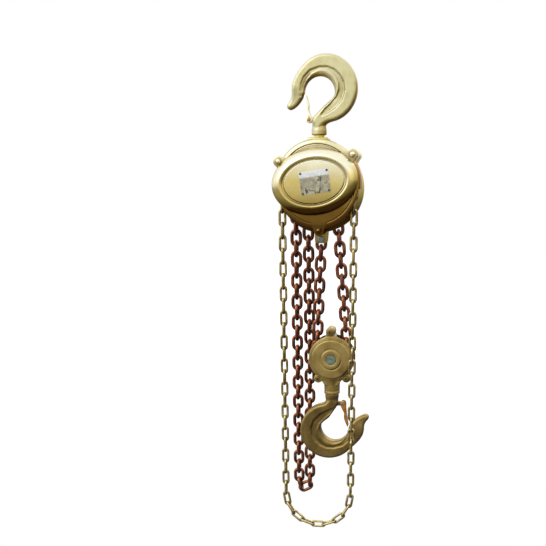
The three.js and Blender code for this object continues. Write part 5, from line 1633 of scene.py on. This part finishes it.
@dataclass
class GearCover:
    """The round cover on the gear side: a rolled edge, a raised ring and a three-cornered boss."""

    radius: float = 75.7
    sheet: float = 2
    start: float = 24.3
    shell: float = 52.5
    edge: float = 6
    bead: float = 56
    boss_back: float = 56
    boss_size: float = 29
    boss_corner: float = 9
    seat: float = 46.8
    drive_seat: Pair = (10.0, 5.7)
    idler_seat: Pair = (9.0, 5.3)

    def triangle(self, size: float, corner: float) -> list[Pair]:
        """Gives a triangle with round corners, one of them up."""
        points: list[Pair] = []
        for a in (90, 210, 330):
            x = DRIVE.x + (size - corner) * cos(radians(a))
            z = DRIVE.z - 1 + (size - corner) * sin(radians(a))
            points += arc(x, z, corner, a - 60, a + 60, 10)
        return points

    def build(self) -> None:
        """Builds the cover."""
        r, s, y, e, b = self.radius, self.sheet, self.shell, self.edge, self.bead
        outer = arc(r - e, y - e, e, 0, 90, 10)
        inner = arc(r - e, y - e, e - s, 90, 0, 6)
        ridge = [(b + 2.8 * cos(radians(a)), y + 1.9 * sin(radians(a))) for a in range(0, 181, 15)]
        profile = [
            (0, y), (b - 8, y), *reversed(ridge), (b + 7, y), *reversed(outer), (r, self.start),
            (r - s, self.start), *reversed(inner), (b, y - s), (0, y - s),
        ]
        body = Bench.turned(profile, 144, "Y", (DRIVE.x, 0, DRIVE.z))
        boss = Bench.slab(self.triangle(self.boss_size, self.boss_corner), y - 0.7, self.boss_back)
        Bench.bevel(boss, 0.9, 3)
        floor = Bench.slab(self.triangle(self.boss_size - 4, self.boss_corner - 3), y + 1, self.boss_back + 1)
        Bench.combine(boss, floor, Cut.TAKE)
        Bench.combine(body, boss, Cut.JOIN)
        places = [(DRIVE.x, DRIVE.z, *self.drive_seat)]
        for a in (IDLER_TILT, IDLER_TILT + pi):
            places.append((DRIVE.x + IDLER_REACH * cos(a), DRIVE.z + IDLER_REACH * sin(a), *self.idler_seat))
        low, high = self.seat, y - s + 0.2
        for x, z, radius, bore in places:
            wall = [(bore, low), (radius, low), (radius, high), (bore, high)]
            Bench.combine(body, Bench.turned(wall, 40, "Y", (x, 0, z)), Cut.JOIN)
        finish_piece(body, "gear_cover_pressing", "frame", "gold_steel", stands_for=["gear_cover"], sharp=32)


# Hook block


@dataclass
class HookBlock:
    """The block that hangs in the load chain: two cast halves round the lower sheave, on an axle."""

    radius: float = 46.5
    cavity: float = 44.7
    cavity_half: float = 13.6
    half: float = 18
    cap: float = 40.2
    rise: float = 7
    boss: float = 21
    split: float = 0.15
    ear_radius: float = 9.2
    neck_half: float = 16.2
    axle: float = 9.5
    axle_end: float = 27.7
    screw: float = 3
    nut_pocket: float = 13.9
    lugs: tuple[Spot, ...] = (Spot("top", -2.5, 54.5), Spot("left", -27, -41), Spot("right", 31, -39))

    def build(self) -> None:
        """Casts one half, mirrors it, and adds the axle and the screws."""
        front = self.half_casting()
        back = Bench.copied(front, Matrix.Diagonal((1, -1, 1, 1)))
        Bench.outward(back)
        for body, side in ((front, "front"), (back, "back")):
            node = f"block_half_{side}"
            finish_piece(body, f"{node}_casting", "block", "bronze_steel", BLOCK_BRONZE, [node], 50)
        self.axle_bar()
        for lug in self.lugs:
            self.lug_screw(lug)

    def half_casting(self) -> Body:
        """Casts the front half.

        Returns:
            The half, its edges softened as a casting's are.
        """
        x, z = BLOCK.x, BLOCK.z
        r, h, c = self.radius, self.half, self.cap
        top = h + self.rise
        face = [
            (self.cavity, -3), (r, -3), (r, h - 2.5), (r - 0.8, h - 0.8), (r - 2.6, h), (c + 0.9, h + 0.1),
            (c + 0.1, h + 0.8), (c, h + self.rise - 3), (c - 0.9, top - 0.9), (c - 3, top),
            (self.boss + 1.4, top), (self.boss + 0.7, top - 1), (self.boss - 0.2, top - 1),
            (self.boss - 0.9, top), (self.boss - 1.8, top + 1), (self.boss - 3.4, top + 1.5),
            (13, top + 1.5), (12, top + 0.9), (9.8, top + 0.9), (9.8, self.cavity_half),
            (self.cavity, self.cavity_half),
        ]
        body = Bench.turned([(a, -b) for a, b in face], 144, "Y", (x, 0, z))
        neck_low = z - NECK_LENGTH
        n = self.neck_half
        neck = Bench.turned([
            (0, neck_low), (n - 1.2, neck_low), (n, neck_low + 1.2), (n, neck_low + 6),
            (n - 0.8, neck_low + 6.8), (n - 0.8, neck_low + 7.8), (n, neck_low + 8.6), (n, z - 54),
            (n + 1.5, z - 48), (n + 4, z - 42), (n + 4, z - 34), (0, z - 34),
        ], 72, "Z", (x, 0, 0))
        with Bench.editing(neck):
            bpy.ops.transform.resize(value=(1, 1.1, 1), center_override=(x * MM, 0, z * MM))
        web = [
            (x - n - 13, z - 33), (x - n - 5, z - 44), (x - n - 1, z - 50), (x - n + 2, z - 56),
            (x + n - 2, z - 56), (x + n + 1, z - 50), (x + n + 5, z - 44), (x + n + 13, z - 33),
        ]
        parts = [neck, Bench.bevel(Bench.slab(web, -h + 2, h - 2), 1.5, 3)]
        for lug in self.lugs:
            rim = self.ear_radius
            parts.append(Bench.turned([
                (0, 3), (rim, 3), (rim, -h + 3), (rim - 0.9, -h + 0.9), (rim - 3, -h), (0, -h),
            ], 48, "Y", (x + lug.x, 0, z + lug.z)))
        parts.append(Bench.slab([
            (x - 14, z + 40), (x + 9.5, z + 40), (x + 8.5, z + 46), (x + 6, z + 49), (x + 5.6, z + 56),
            (x - 10.4, z + 56), (x - 11, z + 49), (x - 13.2, z + 46),
        ], -h + 1, 4))
        body = Bench.gather([body, *parts])
        Bench.apply(body, "REMESH", mode="VOXEL", voxel_size=0.8 * MM)
        Bench.apply(body, "SMOOTH", factor=0.5, iterations=3)
        self.hollow(body, neck_low)
        return body

    def hollow(self, body: Body, neck_low: float) -> None:
        """Cuts the sheave's room, the chain's mouths, the screw bores and the hook's seat.

        Args:
            body: the half.
            neck_low: the neck's lower end.
        """
        x, z = BLOCK.x, BLOCK.z
        deep = -self.cavity_half
        Bench.combine(body, Bench.block((x - 90, -self.split, z - 99), (x + 90, 40, z + 90)), Cut.TAKE)
        Bench.combine(body, Bench.slab(ring_of(x, z, self.cavity, 96), deep, 2), Cut.TAKE)
        for x0, x1 in ((x - 70, x - 12), (x + 9, x + 70)):
            Bench.combine(body, Bench.block((x0, deep - 0.01, z - 12), (x1, 3, z + 80)), Cut.TAKE)
        for lug in self.lugs:
            Bench.drill(body, x + lug.x, z + lug.z, self.screw + GAP, -40, 2)
        ledge, bore, pocket = neck_low + LEDGE, SHANK_BORE, self.nut_pocket
        seat = Bench.turned([
            (0, neck_low - 5), (bore, neck_low - 5), (bore, ledge), (pocket, ledge), (pocket, z - 40),
            (0, z - 40),
        ], 48, "Z", (x, 0, 0))
        Bench.combine(body, seat, Cut.TAKE)

    def axle_bar(self) -> None:
        """Turns the axle, with a raised rim and a centre mark on each end."""
        r, e = self.axle, self.axle_end
        half_bar = [(r, e - 0.6), (r - 0.6, e), (7.8, e), (7.2, e - 0.9), (1.2, e - 0.5), (0, e - 1.2)]
        body = Bench.turned(both_ends(half_bar), 64, "Y", (BLOCK.x, 0, BLOCK.z))
        finish_piece(body, "block_axle_turned", "block", "bare_steel", AXLE_STEEL, ["block_axle"])

    def lug_screw(self, lug: Spot) -> None:
        """Turns a screw: a round head with a hexagon socket in front, a riveted end behind."""
        face, s = self.half + GAP, self.screw
        x, z = BLOCK.x + lug.x, BLOCK.z + lug.z
        body = Bench.turned([
            (0, -face - 3.6), (3.6, -face - 3.6), (4.5, -face - 3.1), (5, -face - 2), (5, -face), (s, -face),
            (s, face), (5, face), (5, face + 1.8), (4, face + 2.8), (2.4, face + 3), (0, face + 3),
        ], 40, "Y", (x, 0, z))
        socket = Bench.slab(arc(x, z, 2.3, 15, 375, 6)[:-1], -face - 5, -face - 1.6)
        Bench.combine(body, socket, Cut.TAKE)
        node = f"block_screw_{lug.name}"
        finish_piece(body, f"{node}_turned", "block", "bare_steel", SCREW_BRONZE, [node])


# The studio


@dataclass(frozen=True)
class Studio:
    """Camera, lamps, floor and world."""

    camera_at: Triple = (0.2321, -1.6516, -0.1958)
    yaw: float = radians(8)
    pitch: float = radians(18.823)
    lens: float = 54.03
    shift: Pair = (-0.0846, 0.3558)
    lamp_aim: Triple = (0, 0, -0.35)
    floor_z: float = -1.15
    floor_paint: str = "dcdcdc"
    floor_glow: Pair = (0.55, 0.95)

    def build(self) -> None:
        """Sets the camera first, then light and floor."""
        self.camera()
        self.lamp("key", (-1.3, -1.7, 1.1), 2.2, 18)
        self.lamp("fill", (1.7, -1.2, 0.1), 1.8, 4)
        self.lamp("rim", (0.6, 1.7, 0.9), 1.8, 8)
        self.floor()
        self.world()

    def camera(self) -> None:
        """Places the camera where the photograph was taken from."""
        data = bpy.data.cameras.new("camera")
        data.sensor_width = 36
        data.lens = self.lens
        data.shift_x, data.shift_y = self.shift
        data.clip_start = 0.05
        data.clip_end = 50
        camera = bpy.data.objects.new("camera", data)
        bpy.context.collection.objects.link(camera)
        look = Vector((-sin(self.yaw) * cos(self.pitch), cos(self.yaw) * cos(self.pitch), -sin(self.pitch)))
        camera.location = self.camera_at
        camera.rotation_euler = look.to_track_quat("-Z", "Y").to_euler()
        bpy.context.scene.camera = camera

    def lamp(self, name: str, at: Triple, size: float, power: float) -> None:
        """Adds a square soft lamp.

        Args:
            name: its name.
            at: where it stands, in metres.
            size: its side.
            power: its power in watts.
        """
        data = bpy.data.lights.new(name, "AREA")
        data.size = size
        data.energy = power
        lamp = bpy.data.objects.new(name, data)
        bpy.context.collection.objects.link(lamp)
        lamp.location = at
        lamp.rotation_euler = (Vector(self.lamp_aim) - Vector(at)).to_track_quat("-Z", "Y").to_euler()

    def floor(self) -> None:
        """Lays a pale floor, white to the camera and still dark where the hoist's shadow falls."""
        Bench.clear()
        bpy.ops.mesh.primitive_plane_add(size=24, location=(0, 0, self.floor_z))
        floor = bpy.context.object
        floor.name = "floor"
        material = bpy.data.materials.new("pale_floor")
        add = emptied(material)
        away = add("VectorMath", {0: add("TexCoord", out="Object")}, "Value", operation="LENGTH")
        under, far = self.floor_glow
        near = add("MapRange", {
            "Value": away, "From Min": 0.8, "From Max": 4.0, "To Min": under, "To Max": far,
        }, "Result", interpolation_type="SMOOTHSTEP")
        seen = add("Math", {0: near, 1: add("LightPath", out="Is Camera Ray")}, "Value", operation="MULTIPLY")
        paint = add("BsdfDiffuse", {"Color": linear(self.floor_paint)}, "BSDF")
        glow = add("Emission", {"Color": (1, 1, 1, 1), "Strength": seen}, "Emission")
        add("OutputMaterial", {"Surface": add("AddShader", {0: paint, 1: glow}, "Shader")})
        floor.data.materials.append(material)

    def world(self) -> None:
        """Gives a world that shows white to the camera and to reflections, and lights softly."""
        world = bpy.data.worlds.new("studio")
        bpy.context.scene.world = world
        add = emptied(world)
        path = add("LightPath").outputs
        seen = add("Math", {0: path["Is Camera Ray"], 1: path["Is Glossy Ray"]}, "Value", operation="MAXIMUM")
        bright = add("Math", {0: seen, 1: path["Is Transmission Ray"]}, "Value", operation="MAXIMUM")
        strength = add("MapRange", {"Value": bright, "To Min": 0.45, "To Max": 1.0}, "Result")
        sky = add("Background", {"Color": (1, 1, 1, 1), "Strength": strength}, "Background")
        add("OutputWorld", {"Surface": sky})


def dress_frame() -> None:
    """Gives every CAD node that still shows the finish of its slot."""
    for part in frame["record"]["subparts"]:
        node = frame["nodes"][part["node"]]
        finish = SLOT_FINISH[part["material_slot"]]
        for material_slot in node.material_slots:
            material_slot.material = finish.material()


def main() -> None:
    """Builds the studio, dresses the CAD nodes and models every sub-assembly."""
    logging.basicConfig(level=logging.INFO, format="%(name)s: %(message)s")
    bpy.context.scene.view_settings.view_transform = "Standard"
    Studio().build()
    dress_frame()
    Hooks().build()
    Yoke().build()
    SidePlates().build()
    Anchor().build()
    WheelCover().build()
    GearCover().build()
    HookBlock().build()
    ChainWork().build()


if __name__ == "__main__":
    main()
